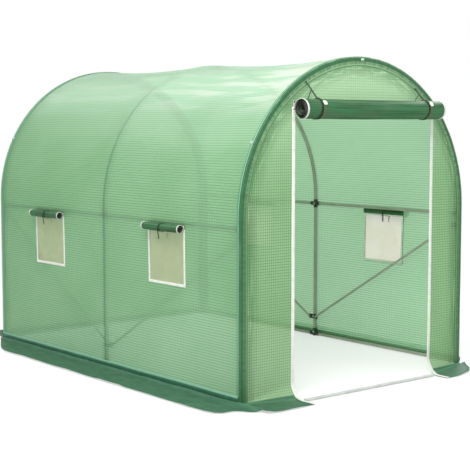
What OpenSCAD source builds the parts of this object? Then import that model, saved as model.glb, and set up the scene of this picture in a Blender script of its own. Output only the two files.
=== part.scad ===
// Walk-in polytunnel greenhouse: three steel hoops joined by rails and diagonal
// braces, under a reinforced film cover with a rolled-up door and four side windows.
// X runs across, Y along (the door faces -Y), Z up. The origin is on the ground
// under the middle. All sizes are in millimetres.

/* [Overall] */
// Width over the hoop legs
span_w = 1925; // [1500:5:2500]
// Length over the end hoops
tunnel_l = 2830; // [2200:10:3800]
// Height of the straight legs, up to the spring of the arch
leg_h = 1065; // [900:5:1350]

/* [Frame] */
// Diameter of the hoop tube
tube_d = 25; // [19:1:32]
// Diameter of the side, ridge and base rails
rail_d = 22; // [16:1:28]
// Diameter of the door sill tube and of the cross rail at the rear
cross_d = 19; // [14:1:25]
// Diameter of the diagonal braces
brace_d = 16; // [12:1:22]
// Wall of the tube connectors
fitting_wall = 2.5; // [1.5:0.5:4]
// Length of a connector's arm, from the middle of the joint
fitting_arm = 45; // [32:1:70]
// Drop of the side rails below the spring of the arch
side_rail_drop = 45; // [30:5:150]
// Height of the braces' low ends
brace_low_z = 150; // [90:5:300]
// Drop of the braces' high ends below the side rails
brace_high_drop = 75; // [60:5:200]

/* [Cover] */
// Thickness of the cover panels
cover_t = 2; // [1:0.5:4]
// Thickness of hems, bands, tapes and webbing
trim_t = 1.5; // [1:0.5:3]
// Width of the hem around each end
hem_w = 50; // [30:1:90]
// Height of the band along the foot of the walls
base_band_h = 42; // [25:1:80]
// Reach of the ground flaps
flap_w = 265; // [120:5:400]
// Thickness of the ground flaps
flap_t = 3; // [2:0.5:5]
// How far the side flaps run past the end panels
flap_corner_run = 100; // [0:5:150]

/* [Door] */
// Width of the doorway
door_w = 1185; // [700:5:1250]
// Offset of the doorway from the middle
door_shift = 46; // [-60:1:60]
// Height of the doorway's top edge
door_top_z = 1690; // [1450:5:1700]
// How far the left front flap's edge is drawn to the left of the doorway
left_foot_shift = 70; // [0:5:150]
// How far the right front flap's edge is drawn to the left, into the doorway
right_foot_shift = 110; // [0:5:150]
// Distance of the sill tube ahead of the front hoop
sill_run = 195; // [190:5:240]
// How far the sill tube stops short of the right front flap
sill_short = 28; // [1:1:80]
// Width of the white tape along the doorway
door_tape_w = 24; // [12:1:40]
// Diameter of the rolled-up door
door_roll_d = 128; // [80:1:150]
// How far the rolled-up door runs past the doorway's right edge
door_roll_over = 10; // [0:5:60]
// How far the rolled-up door runs past the doorway's left edge
door_roll_lead = 15; // [0:5:40]
// Height of the rolled-up door's middle
door_roll_z = 1707; // [1600:1:1760]
// Width of the straps that hold the rolled-up door
strap_w = 16; // [10:1:30]
// Distance of the left strap from the left end of the roll
left_strap_inset = 132; // [60:1:300]
// Distance of the right strap from the right end of the roll
right_strap_inset = 151; // [60:1:300]
// Height of the straps' loops on the end panel
strap_top_z = 1865; // [1820:1:1880]

/* [Windows] */
// Width over a window's frame tape
window_w = 388; // [250:1:450]
// Height over a window's frame tape
window_h = 358; // [250:1:420]
// Height of the frame's bottom edge
window_z = 628; // [450:1:700]
// Width of the frame tape
window_tape_w = 17; // [10:1:30]
// Thickness of the insect net
net_t = 1; // [0.5:0.5:2]
// Diameter of a rolled-up window flap
window_roll_d = 54; // [30:1:70]
// Length of the tie's tail below the roll
tie_tail_l = 45; // [20:1:90]
// Width of a window tie
tie_w = 10; // [6:1:20]

/* [Hidden] */
$fn = 96;

fit_gap = 0.3;                        // clearance between pieces that lie against each other
sleeve_gap = 0.5;                     // clearance of a tube in its connector
cover_gap = 0.8;                      // clearance between the connectors and the cover

tube_r = tube_d / 2;
hoop_r = span_w / 2 - tube_r;         // radius of the arch, and half the span, at the tube's middle
end_y = tunnel_l / 2 - tube_r;        // middle of the end hoops
fitting_r = tube_r + sleeve_gap + fitting_wall;
rail_fitting_r = rail_d / 2 + sleeve_gap + fitting_wall;
saddle_web = 1;                       // wall between the two bores of a ridge connector
rail_z = leg_h - side_rail_drop;
ridge_z = leg_h + hoop_r - tube_r - rail_d / 2 - 2 * sleeve_gap - saddle_web;
ridge_end = 12;                       // how far the ridge rail runs past the end hoops
base_z = fitting_r;                   // the lowest connectors rest on the ground
hoop_ys = [-end_y, 0, end_y];
bay_starts = [-end_y, 0];             // each bay runs from one hoop to the next

skin_in = hoop_r + fitting_r + cover_gap;   // inner face of walls and roof, from the middle
skin_out = skin_in + cover_t;
gable_in = end_y + fitting_r + cover_gap;   // inner face of the end panels
gable_out = gable_in + cover_t;
gable_r = skin_in - fit_gap;          // the end panels stop just inside the walls and roof
hem_out = gable_out + trim_t;

door_left = door_shift - door_w / 2;
door_right = door_shift + door_w / 2;
flap_bend = 0.6;                      // share of a front flap's reach where its drawn edge straightens
door_roll_left = door_left - door_roll_lead;
door_roll_right = door_right + door_roll_over;
door_roll_r = door_roll_d / 2;
strap_in_r = door_roll_r + fit_gap;
strap_out_r = strap_in_r + trim_t;
door_roll_y = -(hem_out + fit_gap + strap_out_r);
strap_xs = [door_roll_left + left_strap_inset, door_roll_right - right_strap_inset];
buckle_w = 26;
buckle_h = 30;
buckle_t = 4;
buckle_shift = 14;                    // a buckle sits this far to the right of its strap's middle
buckle_turn = 36;                     // and this many degrees above the roll's front

window_ys = [-end_y / 2, end_y / 2];
window_roll_r = window_roll_d / 2;
window_roll_z = window_z + window_h;
tie_in_r = window_roll_r + fit_gap;
tie_out_r = tie_in_r + trim_t;
window_roll_x = skin_out + trim_t + fit_gap + tie_out_r;

brace_r = brace_d / 2;
clip_plate_t = 3;
clip_plate_h = 34;
clip_ring_h = 26;
clip_bolt_run = 32;                   // a brace's end lies this far from the middle of the leg
clip_plate_run = clip_bolt_run + 12;
clip_lap = 1.8;                       // how deep a plate reaches into its ring
brace_x = hoop_r - fitting_r - clip_plate_t - fit_gap - brace_r;
brace_high_z = rail_z - brace_high_drop;

// Extrudes a shape drawn in X and Z from y0 to y1.
module along_y(y0, y1)
    translate([0, y1, 0])
        rotate([90, 0, 0])
            linear_extrude(y1 - y0)
                children();

// Extrudes a shape drawn in Y and Z from x0 to x1.
module along_x(x0, x1)
    translate([x0, 0, 0])
        rotate([90, 0, 90])
            linear_extrude(x1 - x0)
                children();

// Outline of the tunnel: straight legs under a half circle.
module tunnel_outline(r, z0) {
    translate([-r, z0])
        square([2 * r, leg_h - z0]);
    intersection() {
        translate([0, leg_h])
            circle(r, $fn = 180);
        translate([-r, leg_h - 1])
            square([2 * r, r + 2]);
    }
}

// A tube that runs between two points.
module tube_between(a, b, d) {
    v = b - a;
    run = norm(v);
    translate(a)
        rotate([0, acos(v.z / run), atan2(v.y, v.x)])
            cylinder(h = run, d = d);
}

module hoop(y) {
    color("#9aa59c") {
        translate([0, y, leg_h])
            rotate([90, 0, 0])
                rotate_extrude(angle = 180)
                    translate([hoop_r, 0])
                        circle(tube_r, $fn = 48);
        for (side = [-1, 1])
            translate([side * hoop_r, y, 0])
                cylinder(h = leg_h, r = tube_r);
    }
}

// Two lengths of rail, one in each bay, that end inside the connectors.
module bay_rails(x, z) {
    color("#9aa59c")
        for (start = bay_starts)
            along_y(start + tube_r + sleeve_gap, start + end_y - tube_r - sleeve_gap)
                translate([x, z])
                    circle(d = rail_d);
}

// The sill tube lies on the ground between the feet of the front flaps.
module door_sill_tube() {
    color("#c9ccc9")
        along_x(door_left - left_foot_shift + fit_gap, door_right - right_foot_shift - sill_short)
            translate([-end_y - sill_run, cross_d / 2])
                circle(d = cross_d);
}

module rear_cross_rail() {
    color("#c9ccc9")
        along_x(-hoop_r + tube_r + sleeve_gap, hoop_r - tube_r - sleeve_gap)
            translate([end_y, base_z])
                circle(d = cross_d);
}

// One brace in each bay: from high on an end hoop to the foot of the middle one.
module side_braces(side) {
    color("#9aa59c")
        for (dir = [-1, 1])
            tube_between(
                [side * brace_x, dir * clip_bolt_run, brace_low_z],
                [side * brace_x, dir * (end_y - clip_bolt_run), brace_high_z],
                brace_d
            );
}

// The ridge rail runs in one length under the three hoops.
module ridge_rail() {
    color("#9aa59c")
        along_y(-end_y - ridge_end, end_y + ridge_end)
            translate([0, ridge_z])
                circle(d = rail_d);
}

// Arms of a connector towards the bays next to the hoop at y.
module rail_arms(y, r) {
    for (dir = [-1, 1])
        if (abs(y + dir * end_y) < end_y + 1)
            rotate([-90 * dir, 0, 0])
                cylinder(h = fitting_arm, r = r);
}

// Saddles that hang the ridge rail under the hoops.
module ridge_fittings() {
    hoop_sleeve_l = 50;
    saddle_l = 2 * ridge_end + fitting_arm / 2;
    color("#3c443f")
        for (y = hoop_ys) {
            shift = -sign(y) * (saddle_l / 2 - ridge_end);
            translate([0, y, 0])
                difference() {
                    union() {
                        translate([0, 0, leg_h + hoop_r])
                            rotate([0, 90, 0])
                                cylinder(h = hoop_sleeve_l, r = fitting_r, center = true);
                        translate([0, shift, ridge_z])
                            rotate([90, 0, 0])
                                cylinder(h = saddle_l, r = rail_fitting_r, center = true);
                    }
                    translate([0, 0, leg_h + hoop_r])
                        rotate([0, 90, 0])
                            cylinder(h = hoop_sleeve_l + 2, r = tube_r + sleeve_gap, center = true);
                    translate([0, 0, ridge_z])
                        rotate([90, 0, 0])
                            cylinder(h = 3 * saddle_l, r = rail_d / 2 + sleeve_gap, center = true);
                }
        }
}

// Opens the bores at the ends of the arms.
module rail_bore_ends(y) {
    for (dir = [-1, 1])
        if (abs(y + dir * end_y) < end_y + 1)
            translate([0, dir * (fitting_arm - 1), 0])
                rotate([-90 * dir, 0, 0])
                    cylinder(h = 3, r = rail_d / 2 + sleeve_gap);
}

module side_rail_fittings() {
    sleeve_l = 60;
    color("#3c443f")
        for (y = hoop_ys, side = [-1, 1])
            translate([side * hoop_r, y, rail_z])
                difference() {
                    union() {
                        cylinder(h = sleeve_l, r = fitting_r, center = true);
                        rail_arms(y, rail_fitting_r);
                    }
                    cylinder(h = sleeve_l + 2, r = tube_r + sleeve_gap, center = true);
                    rail_arms(y, rail_d / 2 + sleeve_gap);
                    rail_bore_ends(y);
                }
}

module base_fittings() {
    sleeve_l = base_z + fitting_arm;
    color("#3c443f")
        for (y = hoop_ys, side = [-1, 1])
            translate([side * hoop_r, y, base_z])
                difference() {
                    union() {
                        translate([0, 0, -base_z])
                            cylinder(h = sleeve_l, r = fitting_r);
                        rail_arms(y, rail_fitting_r);
                        if (y > 1)
                            rotate([0, -90 * side, 0])
                                cylinder(h = fitting_arm, r = cross_d / 2 + sleeve_gap + fitting_wall);
                    }
                    translate([0, 0, -base_z - 1])
                        cylinder(h = sleeve_l + 2, r = tube_r + sleeve_gap);
                    rail_arms(y, rail_d / 2 + sleeve_gap);
                    rail_bore_ends(y);
                    if (y > 1)
                        rotate([0, -90 * side, 0])
                            cylinder(h = fitting_arm + 1, r = cross_d / 2 + sleeve_gap);
                }
}

// A ring on a leg with a flat plate inside it, that reaches into one or both bays.
module brace_clip(side, y, z, back, ahead) {
    color("#3c443f")
        translate([side * hoop_r, y, z])
            difference() {
                union() {
                    cylinder(h = clip_ring_h, r = fitting_r, center = true);
                    translate([
                        side < 0 ? fitting_r - clip_lap : -fitting_r - clip_plate_t,
                        -back,
                        -clip_plate_h / 2
                    ])
                        cube([clip_plate_t + clip_lap, back + ahead, clip_plate_h]);
                }
                cylinder(h = clip_plate_h + 2, r = tube_r + sleeve_gap, center = true);
            }
}

module brace_clips() {
    short_run = fitting_r - 3;
    for (side = [-1, 1]) {
        brace_clip(side, -end_y, brace_high_z, short_run, clip_plate_run);
        brace_clip(side, 0, brace_low_z, clip_plate_run, clip_plate_run);
        brace_clip(side, end_y, brace_high_z, clip_plate_run, short_run);
    }
}

// Outline of a window's cut-out in the wall, grown or shrunk by a margin.
module window_cut(margin) {
    for (y = window_ys)
        translate([y - window_w / 2 + window_tape_w - margin, window_z + window_tape_w - margin])
            square([
                window_w - 2 * window_tape_w + 2 * margin,
                window_h - 2 * window_tape_w + 2 * margin
            ]);
}

// Places a layer on a side wall: depths are measured from the middle of the tunnel.
module wall_layer(side, in, out) {
    along_x(side > 0 ? in : -out, side > 0 ? out : -in)
        children();
}

module side_wall(side) {
    color("#7fb992")
        wall_layer(side, skin_in, skin_out)
            difference() {
                translate([-gable_out, flap_t])
                    square([2 * gable_out, leg_h - flap_t]);
                window_cut(0);
            }
}

module roof_half(side) {
    color("#b9dcc6")
        translate([0, gable_out, leg_h])
            rotate([90, 0, 0])
                rotate([0, 0, side > 0 ? 0 : 90])
                    rotate_extrude(angle = 90, $fn = 180)
                        translate([skin_in, 0])
                            square([cover_t, 2 * gable_out]);
}

// Part of an end panel between two distances across the tunnel and above a height.
module end_panel(x0, x1, z0, y0, y1) {
    along_y(y0, y1)
        intersection() {
            tunnel_outline(gable_r, flap_t);
            translate([x0, z0])
                square([x1 - x0, leg_h + gable_r]);
        }
}

module front_panel_left() {
    color("#a3c08f")
        end_panel(-gable_r, door_left, flap_t, -gable_out, -gable_in);
}

module front_panel_right() {
    color("#a3c08f")
        end_panel(door_right, gable_r, flap_t, -gable_out, -gable_in);
}

module front_panel_top() {
    color("#a3c08f")
        end_panel(door_left, door_right, door_top_z, -gable_out, -gable_in);
}

module rear_panel() {
    color("#a3c08f")
        end_panel(-gable_r, gable_r, flap_t, gable_in, gable_out);
}

// Band around an end, over the edge of the walls and roof.
module end_hem(y0, y1) {
    color("#3f7d56")
        along_y(y0, y1)
            difference() {
                tunnel_outline(skin_out, flap_t);
                tunnel_outline(gable_r - hem_w, flap_t - 1);
            }
}

module base_bands() {
    color("#3f7d56") {
        for (side = [-1, 1])
            wall_layer(side, skin_out, skin_out + trim_t)
                translate([-gable_out, flap_t])
                    square([2 * gable_out, base_band_h]);
        along_y(hem_out, hem_out + trim_t)
            translate([-gable_r + hem_w, flap_t])
                square([2 * (gable_r - hem_w), base_band_h]);
    }
}

// A flap on the ground beside a wall; a corner cut takes the right one's front end back.
module side_flap(side, front_cut) {
    color("#4f9573")
        linear_extrude(flap_t)
            polygon([
                [side * skin_in, -gable_out - (front_cut > 0 ? 0 : flap_corner_run)],
                [side * (skin_out + flap_w), -gable_out - flap_corner_run + front_cut],
                [side * (skin_out + flap_w), gable_out + flap_corner_run],
                [side * skin_in, gable_out + flap_corner_run]
            ]);
}

// A flap on the ground ahead of the front panels; its edge at the doorway is drawn sideways.
module front_flap(hoop_x, door_x, shift) {
    bend_y = -gable_in - flap_bend * flap_w;
    color("#4f9573")
        linear_extrude(flap_t)
            polygon([
                [hoop_x, -gable_in],
                [door_x, -gable_in],
                [door_x - shift, bend_y],
                [door_x - shift, -gable_out - flap_w],
                [hoop_x, -gable_out - flap_w]
            ]);
}

module rear_flap() {
    color("#4f9573")
        translate([-gable_r, gable_in, 0])
            cube([2 * gable_r, flap_w + cover_t, flap_t]);
}

// The tapes stop at the hem where the arch comes down to them.
module door_tapes() {
    color("white")
        for (x0 = [door_left - door_tape_w, door_right])
            along_y(-hem_out, -gable_out)
                intersection() {
                    tunnel_outline(gable_r - hem_w - fit_gap, flap_t);
                    translate([x0, flap_t])
                        square([door_tape_w, door_top_z - flap_t]);
                }
}

module door_roll() {
    color("#2f5a3a")
        along_x(door_roll_left, door_roll_right)
            translate([door_roll_y, door_roll_z])
                circle(door_roll_r);
}

// A loop around the roll and a strap up to the end panel.
module door_straps() {
    top_y = -hem_out - fit_gap;
    front_y = door_roll_y - strap_in_r * sin(30);
    front_z = door_roll_z + strap_in_r * cos(30);
    color("#39482f")
        for (x = strap_xs)
            translate([x - strap_w / 2, 0, 0]) {
                along_x(0, strap_w)
                    difference() {
                        translate([door_roll_y, door_roll_z])
                            circle(strap_out_r);
                        translate([door_roll_y, door_roll_z])
                            circle(strap_in_r);
                    }
                along_x(0, strap_w)
                    difference() {
                        polygon([
                            [top_y, strap_top_z],
                            [top_y, strap_top_z - 2 * trim_t],
                            [front_y, front_z - trim_t],
                            [front_y, front_z + trim_t]
                        ]);
                        translate([door_roll_y, door_roll_z])
                            circle(strap_in_r);
                    }
            }
}

module strap_buckles() {
    color("#e8ebe6")
        for (x = strap_xs)
            translate([x + buckle_shift - buckle_w / 2, door_roll_y, door_roll_z])
                rotate([-buckle_turn, 0, 0])
                    translate([0, -strap_out_r - fit_gap - buckle_t, -buckle_h / 2])
                        cube([buckle_w, buckle_t, buckle_h]);
}

module window_frames(side) {
    color("white")
        wall_layer(side, skin_out, skin_out + trim_t)
            difference() {
                window_cut(window_tape_w);
                window_cut(0);
            }
}

module window_nets(side) {
    middle = (skin_in + skin_out) / 2;
    color("#dfe6dd")
        wall_layer(side, middle - net_t / 2, middle + net_t / 2)
            window_cut(-fit_gap);
}

module window_rolls(side) {
    color("#1f5c3c")
        for (y = window_ys)
            along_y(y - window_w / 2, y + window_w / 2)
                translate([side * window_roll_x, window_roll_z])
                    circle(window_roll_r);
}

// A loop around each rolled-up flap with a tail that hangs below it.
module window_ties(side) {
    color("#22262a")
        for (y = window_ys)
            along_y(y - tie_w / 2, y + tie_w / 2) {
                translate([side * window_roll_x, window_roll_z])
                    difference() {
                        circle(tie_out_r);
                        circle(tie_in_r);
                    }
                translate([side * window_roll_x - trim_t / 2, window_roll_z - tie_in_r - tie_tail_l])
                    square([trim_t, tie_tail_l]);
            }
}

hoop(-end_y);  // front_hoop
hoop(0);  // middle_hoop
hoop(end_y);  // rear_hoop
bay_rails(-hoop_r, rail_z);  // left_side_rail
bay_rails(hoop_r, rail_z);  // right_side_rail
ridge_rail();
bay_rails(-hoop_r, base_z);  // left_base_rail
bay_rails(hoop_r, base_z);  // right_base_rail
door_sill_tube();
rear_cross_rail();
side_braces(-1);  // left_braces
side_braces(1);  // right_braces
ridge_fittings();
side_rail_fittings();
base_fittings();
brace_clips();
side_wall(-1);  // left_wall
side_wall(1);  // right_wall
roof_half(-1);  // left_roof
roof_half(1);  // right_roof
front_panel_left();
front_panel_right();
front_panel_top();
rear_panel();
end_hem(-hem_out, -gable_out);  // front_hem
end_hem(gable_out, hem_out);  // rear_hem
base_bands();
side_flap(-1, 0);  // left_flap
side_flap(1, flap_w + flap_corner_run);  // right_flap
front_flap(-gable_r, door_left, left_foot_shift);  // front_left_flap
front_flap(gable_r, door_right, right_foot_shift);  // front_right_flap
rear_flap();
door_tapes();
door_roll();
door_straps();
strap_buckles();
window_frames(-1);  // left_window_frames
window_frames(1);  // right_window_frames
window_nets(-1);  // left_window_nets
window_nets(1);  // right_window_nets
window_rolls(-1);  // left_window_rolls
window_rolls(1);  // right_window_rolls
window_ties(-1);  // left_window_ties
window_ties(1);  // right_window_ties
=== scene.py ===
import math

import bpy
import numpy as np
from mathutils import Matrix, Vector


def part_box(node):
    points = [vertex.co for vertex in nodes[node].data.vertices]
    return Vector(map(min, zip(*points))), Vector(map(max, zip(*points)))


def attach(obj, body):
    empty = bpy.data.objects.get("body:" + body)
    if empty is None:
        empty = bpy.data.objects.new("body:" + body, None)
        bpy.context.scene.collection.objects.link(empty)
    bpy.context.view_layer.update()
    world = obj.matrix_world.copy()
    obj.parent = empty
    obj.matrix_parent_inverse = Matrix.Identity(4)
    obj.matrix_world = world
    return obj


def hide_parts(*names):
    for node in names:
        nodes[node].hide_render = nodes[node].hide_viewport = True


# A walk-in polytunnel: green woven film over three steel hoops, door and windows rolled up.
# X runs across, Y along (the door faces -Y), Z up, all in metres.

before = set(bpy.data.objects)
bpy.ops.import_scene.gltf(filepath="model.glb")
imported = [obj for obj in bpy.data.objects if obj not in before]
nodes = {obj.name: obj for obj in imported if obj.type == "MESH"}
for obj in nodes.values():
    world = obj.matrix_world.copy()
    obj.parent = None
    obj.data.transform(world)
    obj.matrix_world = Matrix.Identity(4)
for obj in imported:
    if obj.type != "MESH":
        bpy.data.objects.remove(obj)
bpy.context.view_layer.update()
print("frame loaded:", len(nodes), "nodes")

# ---------- sizes read from the frame

roofLow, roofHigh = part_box("right_roof")
hoopLow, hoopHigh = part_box("front_hoop")
panelLow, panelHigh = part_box("front_panel_left")
railLow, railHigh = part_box("right_side_rail")
filmHalf = 0.0015  # the cloth shapes stand this far inside the CAD skins' outer faces
hemWidth = 0.050

legTop = roofLow.z  # where the straight legs meet the arch
endY = (hoopHigh.y - hoopLow.y) / 2 - hoopHigh.y  # an end hoop's distance from the middle
skinR = roofHigh.x - filmHalf  # the film's distance from the middle line
gableR = -panelLow.x
faceY = (panelHigh.y - panelLow.y) / 2 - panelHigh.y  # the front film's distance from the middle
hemFace = -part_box("front_hem")[0].y
hemInner = gableR - hemWidth
doorLeft = panelHigh.x
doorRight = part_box("front_panel_right")[0].x
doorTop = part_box("front_panel_top")[0].z
footZ = panelLow.z
railZ = (railLow.z + railHigh.z) / 2
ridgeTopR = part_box("ridge_rail")[1].z - legTop
flapReach = -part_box("left_flap")[0].x
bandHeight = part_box("base_bands")[1].z
halfArch = skinR * math.pi / 2


# ---------- small helpers

def softNoise(a, b, seed):
    table = np.random.RandomState(seed).rand(64, 64) * 2 - 1
    a, b = np.broadcast_arrays(np.asarray(a, float), np.asarray(b, float))
    rowA, rowB = np.floor(a).astype(int), np.floor(b).astype(int)
    partA, partB = a - rowA, b - rowB
    partA = partA * partA * (3 - 2 * partA)
    partB = partB * partB * (3 - 2 * partB)
    low = table[rowA % 64, rowB % 64] * (1 - partA) + table[(rowA + 1) % 64, rowB % 64] * partA
    nextB = (rowB + 1) % 64
    high = table[rowA % 64, nextB] * (1 - partA) + table[(rowA + 1) % 64, nextB] * partA
    return low * (1 - partB) + high * partB


def ease(value, low, high):  # 0 below low, 1 above high, smooth between
    share = np.clip((np.asarray(value, float) - low) / (high - low), 0, 1)
    return share * share * (3 - 2 * share)


def steps(stops, size):  # even steps that land on every stop
    parts = []
    for low, high in zip(stops[:-1], stops[1:]):
        count = max(1, round((high - low) / size))
        parts.append(np.linspace(low, high, count, endpoint=False))
    parts.append([stops[-1]])
    return np.concatenate(parts)


def newPiece(name, points, faces, cloth):
    mesh = bpy.data.meshes.new(name)
    mesh.from_pydata(np.asarray(points, float).tolist(), [], faces)
    layer = mesh.attributes.new("cloth", "FLOAT_VECTOR", "POINT")
    flat = np.zeros((len(points), 3))
    flat[:, :cloth.shape[1]] = cloth
    layer.data.foreach_set("vector", flat.ravel())
    mesh.shade_smooth()
    mesh.update()
    piece = bpy.data.objects.new(name, mesh)
    bpy.context.scene.collection.objects.link(piece)
    return piece


def gridFaces(rows, cols, loopRows=False, loopCols=False):
    index = np.arange(rows * cols).reshape(rows, cols)
    if loopRows:
        index = np.vstack([index, index[:1]])
    if loopCols:
        index = np.hstack([index, index[:, :1]])
    corners = [index[:-1, :-1], index[:-1, 1:], index[1:, 1:], index[1:, :-1]]
    return np.stack(corners, axis=-1)


def sheetPiece(name, points, cloth, keep=None, flip=False):
    faces = gridFaces(*points.shape[:2])
    faces = faces[keep] if keep is not None else faces.reshape(-1, 4)
    if flip:
        faces = faces[:, ::-1]
    used, faces = np.unique(faces, return_inverse=True)
    points = points.reshape(-1, 3)[used]
    cloth = cloth.reshape(-1, cloth.shape[-1])[used]
    return newPiece(name, points, faces.reshape(-1, 4).tolist(), cloth)


def runLength(points):  # distance along a line of points, or down each column of a grid
    gaps = np.linalg.norm(np.diff(points, axis=0), axis=-1)
    return np.concatenate([np.zeros((1, *gaps.shape[1:])), np.cumsum(gaps, axis=0)])


def roundedBox(turn, sharpness):  # a section between a circle and a rectangle, 2 wide and 2 deep
    wide = np.sign(np.cos(turn)) * np.abs(np.cos(turn)) ** sharpness[0]
    deep = np.sign(np.sin(turn)) * np.abs(np.sin(turn)) ** sharpness[1]
    return wide, deep


def endCaps(rings, corners):  # the two end faces of a tube of rings
    last = (rings - 1) * corners
    return [list(range(corners))[::-1], list(range(last, last + corners))]


def smoothPath(stops, size):  # a soft curve through a few stops
    stops = np.asarray(stops, float)
    marks = runLength(stops)
    count = max(2, round(marks[-1] / size))
    even = np.linspace(0, marks[-1], count + 1)
    slopes = np.gradient(stops, marks, axis=0)
    place = np.clip(np.searchsorted(marks, even, side="right") - 1, 0, len(marks) - 2)
    span = (marks[place + 1] - marks[place])[:, None]
    t = (even - marks[place])[:, None] / span
    a, b = stops[place], stops[place + 1]
    sa, sb = slopes[place] * span, slopes[place + 1] * span
    return (
        a * (2 * t**3 - 3 * t**2 + 1) + sa * (t**3 - 2 * t**2 + t)
        + b * (3 * t**2 - 2 * t**3) + sb * (t**3 - t**2)
    )


def ribbonParts(path, across, width, thick, loop=False, corners=10):
    path = np.asarray(path, float)
    if loop:
        ahead = np.roll(path, -1, axis=0) - np.roll(path, 1, axis=0)
    else:
        ahead = np.gradient(path, axis=0)
    ahead /= np.linalg.norm(ahead, axis=1)[:, None]
    across = np.broadcast_to(np.asarray(across, float), path.shape)
    across = across - ahead * np.sum(across * ahead, axis=1)[:, None]
    across = across / np.linalg.norm(across, axis=1)[:, None]
    out = np.cross(ahead, across)
    turn = np.linspace(0, 2 * math.pi, corners, endpoint=False) + math.pi / corners
    wide, deep = roundedBox(turn, (0.45, 0.45))
    wide, deep = wide * width / 2, deep * thick / 2
    points = path[:, None] + across[:, None] * wide[None, :, None] + out[:, None] * deep[None, :, None]
    faces = gridFaces(len(path), corners, loopRows=loop, loopCols=True).reshape(-1, 4).tolist()
    if not loop:
        faces += endCaps(len(path), corners)
    cloth = np.stack(np.broadcast_arrays(runLength(path)[:, None], wide[None]), axis=-1)
    return points.reshape(-1, 3), faces, cloth.reshape(-1, 2)


def joined(name, parts):  # one piece from several lists of points, faces and cloth places
    faces, start = [], 0
    for points, partFaces, _ in parts:
        faces += [[start + corner for corner in face] for face in partFaces]
        start += len(points)
    points, cloth = (np.concatenate([part[item] for part in parts]) for item in (0, 2))
    return newPiece(name, points, faces, cloth)


def ribbon(name, path, across, width, thick, loop=False):
    return joined(name, [ribbonParts(path, across, width, thick, loop)])


def turnedParts(centre, axis, outline, around=20):  # an outline turned round an axis
    axis = Vector(axis).normalized()
    side = axis.orthogonal().normalized()
    other = axis.cross(side)
    angles = np.linspace(0, 2 * math.pi, around, endpoint=False)
    ring = np.cos(angles)[:, None] * np.array(side) + np.sin(angles)[:, None] * np.array(other)
    outline = np.asarray(outline, float)
    points = (
        np.array(centre)
        + ring[None] * outline[:, None, :1]
        + np.array(axis) * outline[:, None, 1:]
    )
    faces = gridFaces(len(outline), around, loopCols=True).reshape(-1, 4).tolist()
    points = points.reshape(-1, 3)
    return points, faces + endCaps(len(outline), around), np.zeros((len(points), 2))


def install(piece, slot, finish, *stands):
    piece.data.materials.append(finish)
    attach(piece, "root")
    if stands:
        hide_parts(*stands)
    return piece


# ---------- materials: noise scales count waves to the metre, widths are metres of cloth

def shade(red, green, blue):  # a colour as a screen shows it, 0 to 255
    parts = [part / 255 for part in (red, green, blue)]
    linear = [part / 12.92 if part < 0.0405 else ((part + 0.055) / 1.055) ** 2.4 for part in parts]
    return (*linear, 1.0)


def newFinish(name):
    finish = bpy.data.materials.new(name)
    finish.use_nodes = True
    tree = finish.node_tree
    tree.nodes.clear()
    output = tree.nodes.new("ShaderNodeOutputMaterial")
    return finish, tree, output.inputs["Surface"]


def feed(tree, socket, value):
    if isinstance(value, bpy.types.NodeSocket):
        tree.links.new(value, socket)
    else:
        socket.default_value = value


def calc(tree, operation, *values):
    node = tree.nodes.new("ShaderNodeMath")
    node.operation = operation
    for socket, value in zip(node.inputs, values):
        feed(tree, socket, value)
    return node.outputs[0]


def times(tree, first, second):
    return calc(tree, "MULTIPLY", first, second)


def spread(tree, value, low, high, toLow=0.0, toHigh=1.0):
    node = tree.nodes.new("ShaderNodeMapRange")
    node.interpolation_type = "SMOOTHSTEP"
    for socket, part in zip(node.inputs, (value, low, high, toLow, toHigh)):
        feed(tree, socket, part)
    return node.outputs[0]


def tint(tree, share, first, second):
    node = tree.nodes.new("ShaderNodeMix")
    node.data_type = "RGBA"
    feed(tree, node.inputs[0], share)
    feed(tree, node.inputs[6], first)
    feed(tree, node.inputs[7], second)
    return node.outputs[2]


def overlay(tree, under, share, top, weight=None):  # a colour laid on where share says
    if weight is not None:
        share = times(tree, share, weight)
    return tint(tree, share, under, top)


def grain(tree, place, scale, detail=2.0, stretch=(1, 1, 1), turn=0.0):
    node = tree.nodes.new("ShaderNodeTexNoise")
    if stretch != (1, 1, 1):
        pull = tree.nodes.new("ShaderNodeMapping")
        pull.inputs["Scale"].default_value = stretch
        pull.inputs["Rotation"].default_value = (0, 0, turn)
        tree.links.new(place, pull.inputs["Vector"])
        place = pull.outputs[0]
    tree.links.new(place, node.inputs["Vector"])
    node.inputs["Scale"].default_value = scale
    node.inputs["Detail"].default_value = detail
    return node.outputs["Fac"]


def clothPlace(tree):  # metres along and across the flat cloth, and nearness to its edge
    node = tree.nodes.new("ShaderNodeAttribute")
    node.attribute_name = "cloth"
    parts = tree.nodes.new("ShaderNodeSeparateXYZ")
    tree.links.new(node.outputs["Vector"], parts.inputs[0])
    return node.outputs["Vector"], *parts.outputs


def lines(tree, value, pitch, width, soft):  # 1 on each line, 0 between
    wave = calc(tree, "PINGPONG", value, pitch / 2)
    return spread(tree, wave, width / 2 - soft, width / 2 + soft, 1.0, 0.0)


def woven(tree, along, over, pitch, width, soft):  # lines both ways
    return calc(tree, "MAXIMUM", *[lines(tree, value, pitch, width, soft) for value in (along, over)])


def strip(tree, value, low, high, soft=0.0008):  # 1 between low and high
    rise = spread(tree, value, low - soft, low + soft)
    return calc(tree, "MULTIPLY", rise, spread(tree, value, high - soft, high + soft, 1.0, 0.0))


def relief(tree, height, depth, strength=1.0):
    node = tree.nodes.new("ShaderNodeBump")
    node.inputs["Strength"].default_value = strength
    node.inputs["Distance"].default_value = depth
    tree.links.new(height, node.inputs["Height"])
    return node.outputs[0]


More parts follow.
